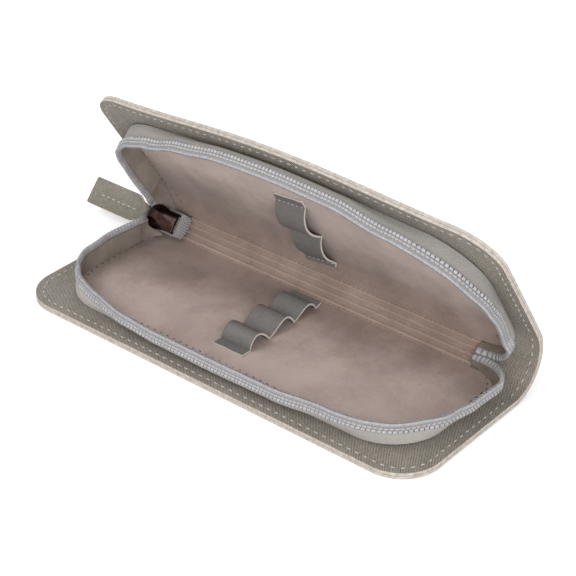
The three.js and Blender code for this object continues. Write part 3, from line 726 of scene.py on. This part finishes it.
def round_the_front(half_length, front, radius, back, inset, steps=14, front_steps=40):
    """A seam's path at an inset from a panel's side, corners and front edge."""
    side, depth, turn = half_length - inset, front - inset, radius - inset
    path = [(-side, v) for v in spread(back, depth - turn, steps)]
    for a in spread(0, math.pi / 2, steps)[1:]:
        path.append((turn - side - turn * math.cos(a), depth - turn + turn * math.sin(a)))
    front_line = [(x, depth) for x in spread(turn - side, side - turn, front_steps)[1:-1]]
    return path + front_line + [(-x, v) for x, v in reversed(path)]


trial = bmesh.new()
flat_seam = seam(in_metres, [(0, 0), (30, 0)], 0)
print("30 mm of seam take", stitch_row(trial, flat_seam, *COVER_STITCH), "stitches")
trial.free()

# %% Seams of the cover
SEAM_INSET = 2.7

for half in HALVES:
    bm = bmesh.new()
    path = round_the_front(CASE_LENGTH / 2, PANEL_DEPTH, CORNER, 1.5, SEAM_INSET)
    made = sum(stitch_row(bm, seam(partial(on_half, half), path, level), *COVER_STITCH)
               for level in (0.0, -COVER))
    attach(as_piece(half + "_cover_stitches", bm, [pale_thread]), half + "_half")
    print(half, "cover stitches:", made)
bm = bmesh.new()
made = 0
for side in (-1, 1):
    at_x = side * (CASE_LENGTH / 2 - SEAM_INSET)
    path = [(at_x, v) for v in spread(-1.0, 2 * MID_SPINE + 1.0, 24)]
    for level in (0.0, -COVER):
        made += stitch_row(bm, seam(partial(over_fold, "lower"), path, level), *COVER_STITCH)
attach(as_piece("spine_stitches", bm, [pale_thread]), "spine")
print("spine stitches:", made)

# %% [markdown]
# Each half is lined with one piece of suede. It fills the pocket, runs on over the fold and ends
# under the ribbed strip in the spine, a little narrower there. It lies in slow waves, thinner at
# its rim, and a row of dark stitches holds it to the zip wall.

# %% Suede linings
RIB_FROM, RIB_TO = math.radians(24), math.radians(73)
UNDER_STRIP = 0.01
LINING_END = {"lower": -SPINE_RADIUS * (RIB_FROM + UNDER_STRIP),
              "upper": -SPINE_RADIUS * (SPINE_ARC - RIB_TO + UNDER_STRIP)}
LINING_HALF, LINING_DEPTH, LINING_CORNER = (
    size - 0.9 for size in (POCKET_HALF, POCKET_DEPTH, POCKET_CORNER))
LINING_LOW, LINING_TOP, LINING_END_HALF = 0.12, 1.1, 74.5
WAVE_RISE, RIM_WIDTH, RIM_THINNED = 0.1, 6, 0.25
LINING_STITCH, LINING_SEAM_INSET = (3.0, 1.5, 0.48, 0.32), 1.7


def suede_point(half, x, v, n):
    narrow = smoothstep(-v, 0.5, -LINING_END[half])
    return over_fold(half, x * mix(LINING_HALF, LINING_END_HALF, narrow) / LINING_HALF, v, n)


for half in HALVES:
    bm = cut_panel(LINING_HALF, LINING_END[half], LINING_DEPTH, LINING_CORNER, LINING_LOW,
                   LINING_TOP, columns=90, rows=60)
    lay_cut(bm)
    round_rim(bm, 0.3)
    for vert in bm.verts:
        if vert.co.z > LINING_TOP - 0.2:
            x, v = vert.co.x, vert.co.y
            vert.co.z += WAVE_RISE * math.sin(x * 0.11 + 1.3) * math.sin(v * 0.17 + x * 0.05)
            rim = min(1.0, (LINING_HALF - abs(x)) / RIM_WIDTH, (LINING_DEPTH - v) / RIM_WIDTH)
            vert.co.z -= RIM_THINNED * (1 - max(0.0, rim)) ** 2
    lining = finished(half + "_suede", bm, partial(suede_point, half), [pink_suede], smooth=60)
    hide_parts(half + "_suede_lining", "spine_suede_" + half)
    blend_at_fold(lining, half)
    bm = bmesh.new()
    path = round_the_front(POCKET_HALF, POCKET_DEPTH - 1.8, POCKET_CORNER, 1.0, LINING_SEAM_INSET)
    lead = [(LINING_SEAM_INSET - POCKET_HALF + 0.8 * v, -v) for v in (8, 6, 4, 2)]
    path = lead + path + [(-x, v) for x, v in reversed(lead)]
    made = stitch_row(bm, seam(partial(over_fold, half), path, 1.02), *LINING_STITCH)
    blend_at_fold(as_piece(half + "_lining_stitches", bm, [brown_thread]), half)
    print(half, "lining stitches:", made)

# %% [markdown]
# The strip in the spine is one more piece of suede, pinched into four low tucks along its length
# and sewn down along both edges. Its section is a low plateau with a narrow bell for each tuck, and
# the crests are painted paler, a painted highlight where the light catches them.

# %% Ribbed strip
TUCKS, RIB_CENTRE, RIB_HALF = (0.13, 0.4, 0.66, 0.92), 0.4, 65.6
STRIP_LOW, STRIP_BASE, HEM_RISE, TUCK_RISE, TUCK_WIDTH, HIGHLIGHT_CREST = 0.3, 1.15, 0.2, 0.5, 0.42, 1.6
STRIP_WIDTH = (RIB_TO - RIB_FROM) * (SPINE_RADIUS - 1.6)
RIB_STITCH, RIB_SEAMS = (2.1, 1.5, 0.3, 0.26), (0.05, 0.95)


def rib_height(share):
    at = share * STRIP_WIDTH
    tucks = sum(math.exp(-(((at - STRIP_WIDTH * tuck) / TUCK_WIDTH) ** 2)) for tuck in TUCKS)
    hem = smoothstep(min(at, STRIP_WIDTH - at), 0, 0.9)
    return STRIP_BASE + HEM_RISE * hem + TUCK_RISE * tucks


def over_spine(x, share, n):
    return on_spine(x, mix(RIB_FROM, RIB_TO, share), n)


strip_ends = (RIB_CENTRE - RIB_HALF, RIB_CENTRE + RIB_HALF)
bm = cut_sheet(60, 84, strip_ends, (0, 1), STRIP_LOW, STRIP_LOW + 1)
for vert in bm.verts:
    if vert.co.z > STRIP_LOW + 0.5:
        at = vert.co
        hem = smoothstep(abs(at.x - RIB_CENTRE), RIB_HALF - 1.2, RIB_HALF)
        at.z = rib_height(at.y) - 0.35 * hem + 0.06 * math.sin(at.x * 0.35 + 9 * at.y)
        # Faces on the crests take the paler suede: a painted highlight.
        if at.z > HIGHLIGHT_CREST:
            for face in vert.link_faces:
                face.material_index = 1
lay_cut(bm)
ribbed = finished("ribbed_strip", bm, over_spine, [rib_suede, tuck_highlight_suede], smooth=60)
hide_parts("spine_ribbed_lining")
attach(ribbed, "spine")
bm = bmesh.new()
for share in RIB_SEAMS:
    path = [(x + RIB_CENTRE, share) for x in spread(1 - RIB_HALF, RIB_HALF - 1, 30)]
    made = stitch_row(bm, seam(over_spine, path, rib_height(share)), *RIB_STITCH)
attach(as_piece("rib_stitches", bm, [rib_thread]), "spine")
print("tucks:", len(TUCKS), "stitches a line:", made)

# %% [markdown]
# The wall of the pocket is woven tape with a smooth lining inside. Both are sheets in distance,
# height and offset, carried by the wall's own wrap. The tape swells over the cord that the coil is
# wound round, and is painted darker there, as painted shade between the teeth.

# %% Zip tape and gusset lining
TAPE_PLY, GUSSET_LOW, GUSSET_HIGH, GUSSET_FOOT, GUSSET_TOP = 0.25, -0.9, -0.45, 0.5, 7.9
CORD_FROM, CORD_TO, CORD_RISE = 6.2, 9.8, 0.72


def wall_sheet(rows, foot, top, low, high):
    bm = cut_sheet(220, rows, (0, WALL_LENGTH), (foot, top), low, high)
    lay_cut(bm)
    return bm


def swell_over_cord(bm):
    for vert in bm.verts:
        if vert.co.z > 0 and CORD_FROM < vert.co.y < CORD_TO:
            share = (vert.co.y - CORD_FROM) / (CORD_TO - CORD_FROM)
            vert.co.z += CORD_RISE * math.sin(math.pi * share) ** 0.5


for half in HALVES:
    bm = wall_sheet(24, 0.0, TAPE_HEIGHT, -TAPE_PLY, TAPE_PLY)
    swell_over_cord(bm)
    for face in bm.faces:
        # Faces over the cord get the darker tape: painted shade between the teeth.
        if face.normal.z > 0.3 and CORD_FROM < face.calc_center_median().y < CORD_TO - 0.1:
            face.material_index = 1
    finishes = [tape_finishes[half], shaded_tape_finish]
    tape = finished(half + "_tape", bm, partial(on_wall, half), finishes, smooth=50)
    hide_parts(half + "_zip_tape")
    bm = wall_sheet(14, GUSSET_FOOT, GUSSET_TOP, GUSSET_LOW, GUSSET_HIGH)
    inner = finished(half + "_gusset", bm, partial(on_wall, half), [gusset_finish], smooth=50)
    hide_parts(half + "_gusset_lining")
    for piece in (tape, inner):
        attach(piece, half + "_half")
print("tape points:", len(tape.data.vertices), "lining points:", len(inner.data.vertices))

# %% [markdown]
# A coil zip is one nylon wire wound into flat loops round a cord and sewn to the tape. From outside
# each loop shows two humps with a dip between, where the sewing thread crosses, and leans over by
# half a pitch on its way up. From inside only its head shows, past the tape's edge. One loop is an
# extruded hexagon bent through those places, and the row is that loop copied along the wall. Along
# the rim a duller oval core carries the loops round to the inside.

# %% Coil teeth
TOOTH_PITCH, TOOTH_SIZE, HEAD_SIZE = 1.5, (1.36, 0.56), (1.24, 0.4)
CORE_HEIGHT, CORE_OFF, CORE_TALL, CORE_THICK, CORE_SIDES = 9.72, 0.28, 0.72, 0.52, 10
TOOTH_LINE = [(-0.37, 6.0, 0.45), (-0.37, 6.2, 0.95), (-0.36, 6.6, 1.18), (-0.32, 7.05, 1.18),
              (-0.22, 7.4, 0.84), (-0.05, 7.7, 0.76), (0.08, 8.0, 0.98), (0.2, 8.35, 1.0),
              (0.3, 8.7, 0.74), (0.36, 9.1, 0.56), (0.38, 9.6, 0.7), (0.38, 10.2, 0.5)]
HEAD_LINE = [(0, 7.95, -0.1), (0, 8.15, -0.45), (0, 8.8, -0.58), (0, 9.6, -0.6), (0, 10.2, -0.42),
             (0, 10.4, 0)]


def parts_of(geometry, kind):
    return [item for item in geometry if isinstance(item, kind)]


def tooth(line, width, thick):
    """A wire swept through a line: its ring is extruded, moved on and tilted at each bend."""
    bm = bmesh.new()
    ring = bmesh.ops.create_circle(bm, cap_ends=False, segments=6, radius=0.5)["verts"]
    edges = first = list({edge for vert in ring for edge in vert.link_edges})
    bmesh.ops.scale(bm, vec=(width, thick, 1), verts=ring)
    bmesh.ops.rotate(bm, verts=ring, cent=(0, 0, 0), matrix=Matrix.Rotation(math.pi / 2, 3, "X"))
    bmesh.ops.translate(bm, verts=ring, vec=line[0])
    for i, (here, there) in enumerate(zip(line, line[1:])):
        grown = bmesh.ops.extrude_edge_only(bm, edges=edges)["geom"]
        ring, edges = parts_of(grown, bmesh.types.BMVert), parts_of(grown, bmesh.types.BMEdge)
        bmesh.ops.translate(bm, verts=ring, vec=Vector(there) - Vector(here))
        ahead, before = line[min(i + 2, len(line) - 1)], line[max(0, i - 1)]
        then = math.atan2(ahead[2] - here[2], ahead[1] - here[1])
        was = math.atan2(there[2] - before[2], there[1] - before[1])
        bmesh.ops.rotate(bm, verts=ring, cent=there, matrix=Matrix.Rotation(then - was, 3, "X"))
    bmesh.ops.holes_fill(bm, edges=first + edges)
    bmesh.ops.recalc_face_normals(bm, faces=bm.faces)
    return bm


def tooth_row(length, line, size):
    bm = tooth(line, *size)
    one = bm.verts[:] + bm.edges[:] + bm.faces[:]
    count = round(length / TOOTH_PITCH)
    for i in range(1, count):
        copy = bmesh.ops.duplicate(bm, geom=one)["geom"]
        verts = parts_of(copy, bmesh.types.BMVert)
        bmesh.ops.translate(bm, verts=verts, vec=(i * length / count, 0, 0))
    bmesh.ops.translate(bm, verts=bm.verts, vec=(length / count / 2, 0, 0))
    return bm, count


def lay_core(bm, length, steps):
    before = len(bm.faces)
    grid = bmesh.ops.create_grid(bm, x_segments=steps, y_segments=CORE_SIDES, size=0.5)["verts"]
    bm.faces.ensure_lookup_table()
    for face in bm.faces[before:]:
        face.material_index = 1
    for vert in grid:
        turn = 2 * math.pi * (vert.co.y + 0.5)
        vert.co = ((vert.co.x + 0.5) * length, CORE_HEIGHT + CORE_TALL * math.sin(turn),
                   CORE_OFF + CORE_THICK * math.cos(turn))
    bmesh.ops.remove_doubles(bm, verts=grid, dist=1e-4)


def zip_coil(length, core_steps, place, teeth_name, heads_name):
    """The teeth of one stretch of zip on their core, and the heads that show inside."""
    teeth, count = tooth_row(length, TOOTH_LINE, TOOTH_SIZE)
    lay_core(teeth, length, core_steps)
    bmesh.ops.holes_fill(teeth, edges=[e for e in teeth.edges if e.is_boundary])
    heads, _ = tooth_row(length, HEAD_LINE, HEAD_SIZE)
    pieces = (finished(teeth_name, teeth, place, [coil_finish, core_finish], smooth=70),
              finished(heads_name, heads, place, [coil_finish], smooth=70))
    print(teeth_name + ":", count, "teeth on", round(length, 1), "mm")
    return pieces


def within_wall(half, distance, height, off):
    return on_wall(half, min(max(distance, 0), WALL_LENGTH), height, off)


for half in HALVES:
    place = partial(within_wall, half)
    coil, heads = zip_coil(WALL_LENGTH, 260, place, half + "_coil", half + "_coil_heads")
    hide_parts(half + "_zip_coil")
    for piece in (coil, heads):
        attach(piece, half + "_half")

# %% [markdown]
# Each half's zip tape runs on past its wall as a soft end. On the left it goes into the slider, on
# the right it turns back on itself and disappears under the ribbed strip. An end is a ribbon
# between two smooth lines, one for its rim and one for its foot, that starts where the wall stops.
# The left lines are laid over the fold, because the slider they enter sits on the spine. Near the
# wall the ribbon keeps the wall's own cross-section and lets go of it little by little.

# %% Soft tape ends
END_LINES = {
    ("lower", -1): [(-77.1, 4.3, 9.9, -78.5, 4.3, 0.7), (-77.8, 2.4, 10.0, -77.2, 3.2, 1.3),
                    (-78.7, -0.2, 9.5, -75.6, 1.9, 2.1), (-79.4, -2.8, 8.5, -73.9, 0.7, 2.9),
                    (-79.7, -5.0, 7.3, -72.4, -0.2, 3.5), (-79.6, -6.7, 6.2, -71.2, -0.9, 4.0)],
    ("upper", -1): [(-77.1, 4.3, 9.9, -78.5, 4.3, 0.7), (-77.9, 0.9, 10.4, -77.2, 1.6, 1.2),
                    (-78.8, -3.2, 10.1, -75.6, -1.5, 2.2), (-79.5, -7.4, 9.1, -73.9, -4.4, 3.3),
                    (-79.8, -11.2, 7.7, -72.4, -6.8, 4.3), (-79.6, -14.6, 6.4, -71.2, -8.6, 5.0)],
    ("lower", 1): [(83.6, 4.3, 9.0, 78.9, 4.3, 0.7), (83.5, 2.6, 9.2, 79.4, 2.4, 1.2),
                   (82.0, 0.5, 9.1, 78.8, 0.2, 1.6), (79.0, -1.9, 8.8, 77.0, -1.9, 1.9),
                   (75.4, -4.0, 8.2, 73.5, -3.6, 2.3), (71.2, -5.3, 7.4, 69.8, -4.7, 2.8),
                   (66.4, -5.9, 6.4, 66.2, -5.2, 3.2)],
    ("upper", 1): [(82.0, 4.3, 9.0, 78.9, 4.3, 0.7), (82.0, 2.2, 9.2, 79.4, 1.6, 1.6),
                   (81.2, -0.4, 9.4, 78.8, -2.5, 2.6), (79.6, -3.2, 9.6, 77.2, -5.8, 3.6),
                   (77.0, -5.9, 9.8, 75.1, -7.6, 4.4), (72.9, -7.7, 9.9, 71.5, -8.4, 5.2),
                   (66.4, -8.7, 9.7, 66.2, -8.7, 5.9)],
}
COIL_FOOT, LEAST_WIDTH = 6, 4.2


def smooth_line(points, share):
    """A point of the smooth curve that passes through all the points."""
    spot = min(share, 0.99999) * (len(points) - 1)
    i = int(spot)
    t = spot - i
    a, b = points[i], points[i + 1]
    before = points[i - 1] if i else a + (a - b)
    after = points[i + 2] if i + 2 < len(points) else b + (b - a)
    return 0.5 * (2 * a + (b - before) * t + (2 * before - 5 * a + 4 * b - after) * t**2
                  + (3 * a - before - 3 * b + after) * t**3)


def smoothed(points, count=40):
    return [smooth_line(points, i / count) for i in range(count + 1)]


class TapeEnd:
    """A soft end. Its at() takes the distance past the wall, the height on the tape, the offset."""

    def __init__(self, half, side):
        self.half, self.wall = half, 0 if side < 0 else WALL_LENGTH
        place = partial(over_fold if side < 0 else on_half, half)
        self.rim = [place(*row[:3]) for row in END_LINES[half, side]]
        self.foot = [place(*row[3:]) for row in END_LINES[half, side]]
        self.rim[0], self.foot[0] = (on_wall(half, self.wall, h, 0) for h in (TAPE_HEIGHT, 0))
        steps = smoothed(self.rim)
        self.length = sum((b - a).length for a, b in zip(steps, steps[1:])) / MM
        outward = on_wall(half, self.wall, 5, 1) - on_wall(half, self.wall, 5, 0)
        self.sign = 1 if self.across(0.0).dot(outward) > 0 else -1

    def across(self, share):
        a, b = max(0.0, share - 0.02), min(1.0, share + 0.02)
        heading = smooth_line(self.rim, b) - smooth_line(self.rim, a)
        heading += smooth_line(self.foot, b) - smooth_line(self.foot, a)
        up = smooth_line(self.rim, share) - smooth_line(self.foot, share)
        return heading.cross(up).normalized()

    def at(self, distance, height, off):
        share = min(1.0, max(0.0, distance / self.length))
        foot, rim = smooth_line(self.foot, share), smooth_line(self.rim, share)
        even = level = height / TAPE_HEIGHT
        if height > COIL_FOOT:
            width = max((rim - foot).length / MM, LEAST_WIDTH)
            level = max(0.0, 1 - (TAPE_HEIGHT - height) / width)
        start = on_wall(self.half, self.wall, height, off)
        chord = self.foot[0].lerp(self.rim[0], even)
        flat = foot.lerp(rim, mix(even, level, smoothstep(share, 0, 0.5)))
        held = 1 - smoothstep(share, 0.0, 0.45)
        faced = flat + self.across(share) * (self.sign * off * MM * (1 - held))
        return faced + (start - chord) * held


for half in HALVES:
    for side, word in ((-1, "_left"), (1, "_right")):
        end, name = TapeEnd(half, side), half + word
        bm = cut_sheet(44, 14, (0, end.length), (0, TAPE_HEIGHT), -TAPE_PLY, TAPE_PLY)
        lay_cut(bm)
        for face in bm.faces:
            # Inner faces below the lining's top take the darker lining: painted shade.
            if face.normal.z < -0.5 and face.calc_center_median().y < GUSSET_TOP:
                face.material_index = 1
        swell_over_cord(bm)
        finishes = [tape_finishes[half], shaded_gusset]
        ribbon = finished(name + "_tape", bm, end.at, finishes, smooth=60)
        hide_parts(name + "_tape_end")
        teeth, heads = zip_coil(end.length, 40, end.at, name + "_teeth", name + "_heads")
        for piece in (ribbon, teeth, heads):
            blend_at_fold(piece, half)

# %% [markdown]
# The loops that hold the tweezers are one strap in each half, sewn down in rows so that it stands
# up in humps between them. A strap is drawn as a line in v and n, and a point of it is found by
# walking along that line and stepping off it sideways.

# %% Straps
class Line:
    """A line in two numbers, walked by its length, with an offset to its left."""

    def __init__(self, points):
        self.points = [Vector(p) for p in points]
        self.marks = [0.0]
        for a, b in zip(self.points, self.points[1:]):
            self.marks.append(self.marks[-1] + (b - a).length)
        self.length = self.marks[-1]

    def raw(self, distance):
        distance = min(max(distance, 0.0), self.length)
        for i, mark in enumerate(self.marks[1:]):
            if distance <= mark or i == len(self.points) - 2:
                a, b = self.points[i], self.points[i + 1]
                return a.lerp(b, (distance - self.marks[i]) / max(1e-9, mark - self.marks[i]))

    def at(self, distance, off):
        ahead, behind = self.raw(distance + 0.25), self.raw(distance - 0.25)
        along = (ahead - behind).normalized()
        return self.raw(distance) + Vector((-along.y, along.x)) * off


STRAP_REST, STRAP_PLY, ROW_DIP, SKEW_AT = 1.45, 0.4, 0.15, -3.3
STRAP_STITCH, STRAP_SEAM = (2.2, 1.6, 0.5, 0.44), STRAP_REST + 0.25
STRAPS = {
    "lower": {"sides": (-10.0, 2.9), "front": 38.6, "rows": (34.4, 24.3, 10.9, -1.2), "back": -4.6,
              "crests": (0.42, 0.66, 0.64), "heights": (4.4, 3.8, 3.2), "skew": 0},
    "upper": {"sides": (-10.0, 3.4), "front": 33.0, "rows": (29.3, 11.6, -5.6), "back": -7.2,
              "crests": (0.46, 0.44), "heights": (3.8, 3.1), "skew": 0.13},
}


def strap_line(front, rows, back, crests, heights):
    """The strap from the side: flat ends, rows of sewing, and a hump between each two rows."""
    points = [(front, STRAP_REST), (mix(front, rows[0], 0.5), STRAP_REST)]
    for row, after, crest, height in zip(rows, rows[1:], crests, heights):
        power = math.log(0.5) / math.log(crest)
        points.append((row, STRAP_REST - ROW_DIP))
        for share in spread(0, 1, 24)[1:-1]:
            rise = math.sin(math.pi * share**power) ** 0.9
            points.append((mix(row, after, share), STRAP_REST + height * rise))
    last = rows[-1]
    end = [(last, STRAP_REST - ROW_DIP), (mix(last, back, 0.5), STRAP_REST), (back, STRAP_REST)]
    return Line(points + end)


def on_strap(half, line, skew, x, s, o):
    v, n = line.at(s, -o)
    return over_fold(half, x, v + skew * (x - SKEW_AT), n + 0.05 * math.sin(x * 0.9 + s * 0.2))


for half, strap in STRAPS.items():
    (near, far), rows, skew = strap["sides"], strap["rows"], strap["skew"]
    line = strap_line(strap["front"], rows, strap["back"], strap["crests"], strap["heights"])
    bm = cut_sheet(10, 150, (near, far), (0, line.length), -STRAP_PLY, STRAP_PLY)
    lay_cut(bm)
    round_rim(bm, 0.14)
    paint_edge(bm)
    place = partial(on_strap, half, line, skew)
    piece = finished(half + "_strap", bm, place, [strap_finish, strap_edge], smooth=50)
    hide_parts(half + "_loop_strip", half + "_back_loop")
    blend_at_fold(piece, half)
    bm = bmesh.new()
    for row in rows:
        path = [(x, row + skew * (x - SKEW_AT)) for x in spread(near + 0.5, far - 0.5, 8)]
        made = stitch_row(bm, seam(partial(over_fold, half), path, STRAP_SEAM), *STRAP_STITCH)
    blend_at_fold(as_piece(half + "_strap_stitches", bm, [pale_thread]), half)
    print(half, "strap:", round(line.length, 1), "mm long,", len(rows), "rows of", made, "stitches")

# %% [markdown]
# The slider is a small casting of dark nickel, polished, so it shows its edges by what they
# reflect. The solid has the right form already. A copy of it, merged and with its flat facets
# joined, only needs its hard edges rounded. The link is a bent wire, so its copy is made finer and
# smoothed.

# %% Slider and link
HARD_EDGE, EDGE_ROUND = 20, 0.16


def merged_copy(node):
    bm = bmesh.new()
    bm.from_mesh(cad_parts[node].data)
    bmesh.ops.remove_doubles(bm, verts=bm.verts, dist=2e-6)
    return bm


def metal_piece(name, bm, node, smooth):
    piece = finished(name, bm, lambda x, y, z: (x, y, z), [gun_metal], smooth)
    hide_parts(node)
    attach(piece, name)
    return piece


bm = merged_copy("slider_body")
bmesh.ops.dissolve_limit(bm, angle_limit=math.radians(1), verts=bm.verts, edges=bm.edges)
sharp = [e for e in bm.edges if e.is_manifold and e.calc_face_angle() > math.radians(HARD_EDGE)]
bmesh.ops.bevel(bm, geom=sharp, offset=EDGE_ROUND * MM, offset_type="OFFSET", segments=3,
                profile=0.5, affect="EDGES", material=-1, clamp_overlap=True)
slider = metal_piece("slider", bm, "slider_body", smooth=40)
bm = merged_copy("puller_link")
bmesh.ops.subdivide_edges(bm, edges=bm.edges, cuts=1, smooth=0.6, use_grid_fill=True)
bmesh.ops.smooth_vert(bm, verts=bm.verts, factor=0.2, use_axis_x=True, use_axis_y=True,
                      use_axis_z=True)
link = metal_piece("link", bm, "puller_link", smooth=60)
print("slider points:", len(slider.data.vertices), "link points:", len(link.data.vertices))

# %% [markdown]
# The pull is one strap of the cover's leather, folded round the link and stitched to itself. It
# widens from the link to its full width, and its cut edges are painted as the cover's are. It lies
# in the slider's own directions, so a small frame on the slider comes first.

# %% Pull tab
SLIDER_ANGLE, SLIDER_RADIUS, SLIDER_DROP = math.radians(48), 6.4, 0.8
LINK_OFF, LINK_FAR, LINK_ROUND = 3.05, -84.3, 1.05
TAB_END, TAB_WIDTH, TAB_NECK, TAB_TIP, TAB_PLY, TAB_CORNER = -112.8, 10.8, 6.9, 4.6, 0.52, 0.9
TAB_CLOSED = LINK_FAR - 2.6
PULL_STITCH, PULL_SEAM, PULL_LIFT = (2.7, 1.9, 0.42, 0.34), (-107.8, -88.6), 0.42


def at_slider(x, t, o):
    s, c = math.sin(SLIDER_ANGLE), math.cos(SLIDER_ANGLE)
    radius, across = SLIDER_RADIUS + o, t - SLIDER_DROP
    return in_metres(x, radius * s + across * c, CENTRE_Z - radius * c + across * s)


tab_line = Line(
    [(x, TAB_PLY) for x in spread(TAB_END, TAB_CLOSED, 20)]
    + [(LINK_FAR + LINK_ROUND * math.cos(a), LINK_ROUND * math.sin(a))
       for a in spread(math.pi / 2, -math.pi / 2, 12)]
    + [(x, -TAB_PLY) for x in spread(TAB_CLOSED, TAB_END, 20)])


def on_tab(across, distance, off):
    x, o = tab_line.at(distance, -off)
    width = mix(TAB_WIDTH, TAB_NECK, smoothstep(x, TAB_CLOSED - 4.4, TAB_CLOSED))
    width = mix(width, TAB_TIP, smoothstep(x, TAB_CLOSED, LINK_FAR))
    corner = smoothstep(TAB_END + TAB_CORNER - x, 0, TAB_CORNER)
    return at_slider(x, across / TAB_WIDTH * (width - 0.7 * corner**2), LINK_OFF + o)


bm = cut_sheet(14, 120, (-TAB_WIDTH / 2, TAB_WIDTH / 2), (0, tab_line.length),
               -STRAP_PLY, STRAP_PLY)
round_rim(bm, 0.16)
paint_edge(bm)
lay_cut(bm)
tab = finished("pull", bm, on_tab, [outer_leather, tab_edge], smooth=50)
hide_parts("pull_tab")
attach(tab, "tab")
bm = bmesh.new()
for side in (-1, 1):
    level = LINK_OFF + side * (TAB_PLY + PULL_LIFT)
    up = (at_slider(0, 0, side) - at_slider(0, 0, 0)).normalized()
    row = [(at_slider(x, -0.6, level), up) for x in spread(*PULL_SEAM, 20)]
    made = stitch_row(bm, row, *PULL_STITCH)
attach(as_piece("pull_stitches", bm, [pale_thread]), "tab")
print("pull:", round(LINK_FAR - TAB_END, 1), "mm,", made, "stitches a side")

# %% [markdown]
# Behind the slider the closed end of the zip shows for a few millimetres before it dives under the
# ribbed strip: a strip of tape with close rows of meshed teeth across it, each a short grain like a
# stitch.

# %% Zip tail
TAIL = [(-72.5, 6.4), (-69.5, 6.4), (-66.6, 6.4), (-65.7, 6.75), (-65.1, 7.8), (-64.85, 9.2),
        (-64.75, 10.6)]
TAIL_SIDES, TAIL_TEETH, TAIL_TOOTH = (-4.55, 4.75), (-4.1, 4.3), (1.05, 0.8, 0.85, 0.6)
TAIL_ROWS, TAIL_FIRST, TAIL_PITCH = 5, 6.4, 1.15
tail_line = Line(smoothed([Vector(p) for p in TAIL]))


def on_tail(t, distance, off):
    x, radius = tail_line.at(distance, -off)
    share = smoothstep(distance / tail_line.length, 0.5, 1)
    flat = at_slider(x, t, radius - SLIDER_RADIUS)
    turn = SLIDER_ANGLE + (t - SLIDER_DROP) / radius
    return flat.lerp(on_spine(x, turn, SPINE_RADIUS - radius), share)


bm = cut_sheet(16, 40, TAIL_SIDES, (0, tail_line.length), -TAPE_PLY, TAPE_PLY)
lay_cut(bm)
# The tail is all darker tape: painted shade under the slider.
tail = finished("zip_tail", bm, on_tail, [shaded_tape_finish], smooth=60)
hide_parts("zip_tail_tape", "zip_tail_chain")
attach(tail, "spine")
bm = bmesh.new()
for row in range(TAIL_ROWS):
    path = [(t, TAIL_FIRST + TAIL_PITCH * row) for t in spread(*TAIL_TEETH, 12)]
    made = stitch_row(bm, seam(on_tail, path, 0.3), *TAIL_TOOTH)
meshed = as_piece("zip_tail_teeth", bm, [core_finish])
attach(meshed, "spine")
print("zip tail:", round(tail_line.length, 1), "mm,", TAIL_ROWS, "rows of", made, "teeth")

# %% [markdown]
# The floor is pale and reaches far past the picture, so no edge of it shows. To the camera it is
# lifted to white and keeps the case's soft shadow; to the case it is an ordinary pale floor.

# %% Floor
FLOOR_DROP, FLOOR_GLOW = 0.0002, 0.36
pale = Finish("pale floor", Base_Color=(0.8, 0.8, 0.8, 1), Roughness=0.9)
dark, glow = (pale.node("ShaderNodeEmission", {}, {"Strength": power})
              for power in (0.0, FLOOR_GLOW))
seen = pale.node("ShaderNodeLightPath", {}, {}, "Is Camera Ray")
lift = pale.node("ShaderNodeMixShader", {}, {0: seen, 1: dark, 2: glow})
lit = Value(pale, pale.shader.outputs[0])
pale.show(pale.node("ShaderNodeAddShader", {}, {0: lit, 1: lift}), "Material Output")
bm = bmesh.new()
bmesh.ops.create_grid(bm, x_segments=1, y_segments=1, size=4.0)
bmesh.ops.translate(bm, verts=bm.verts, vec=(0, 0, -FLOOR_DROP))
floor = as_piece("floor", bm, [pale.material])
print("floor:", floor.dimensions[:])
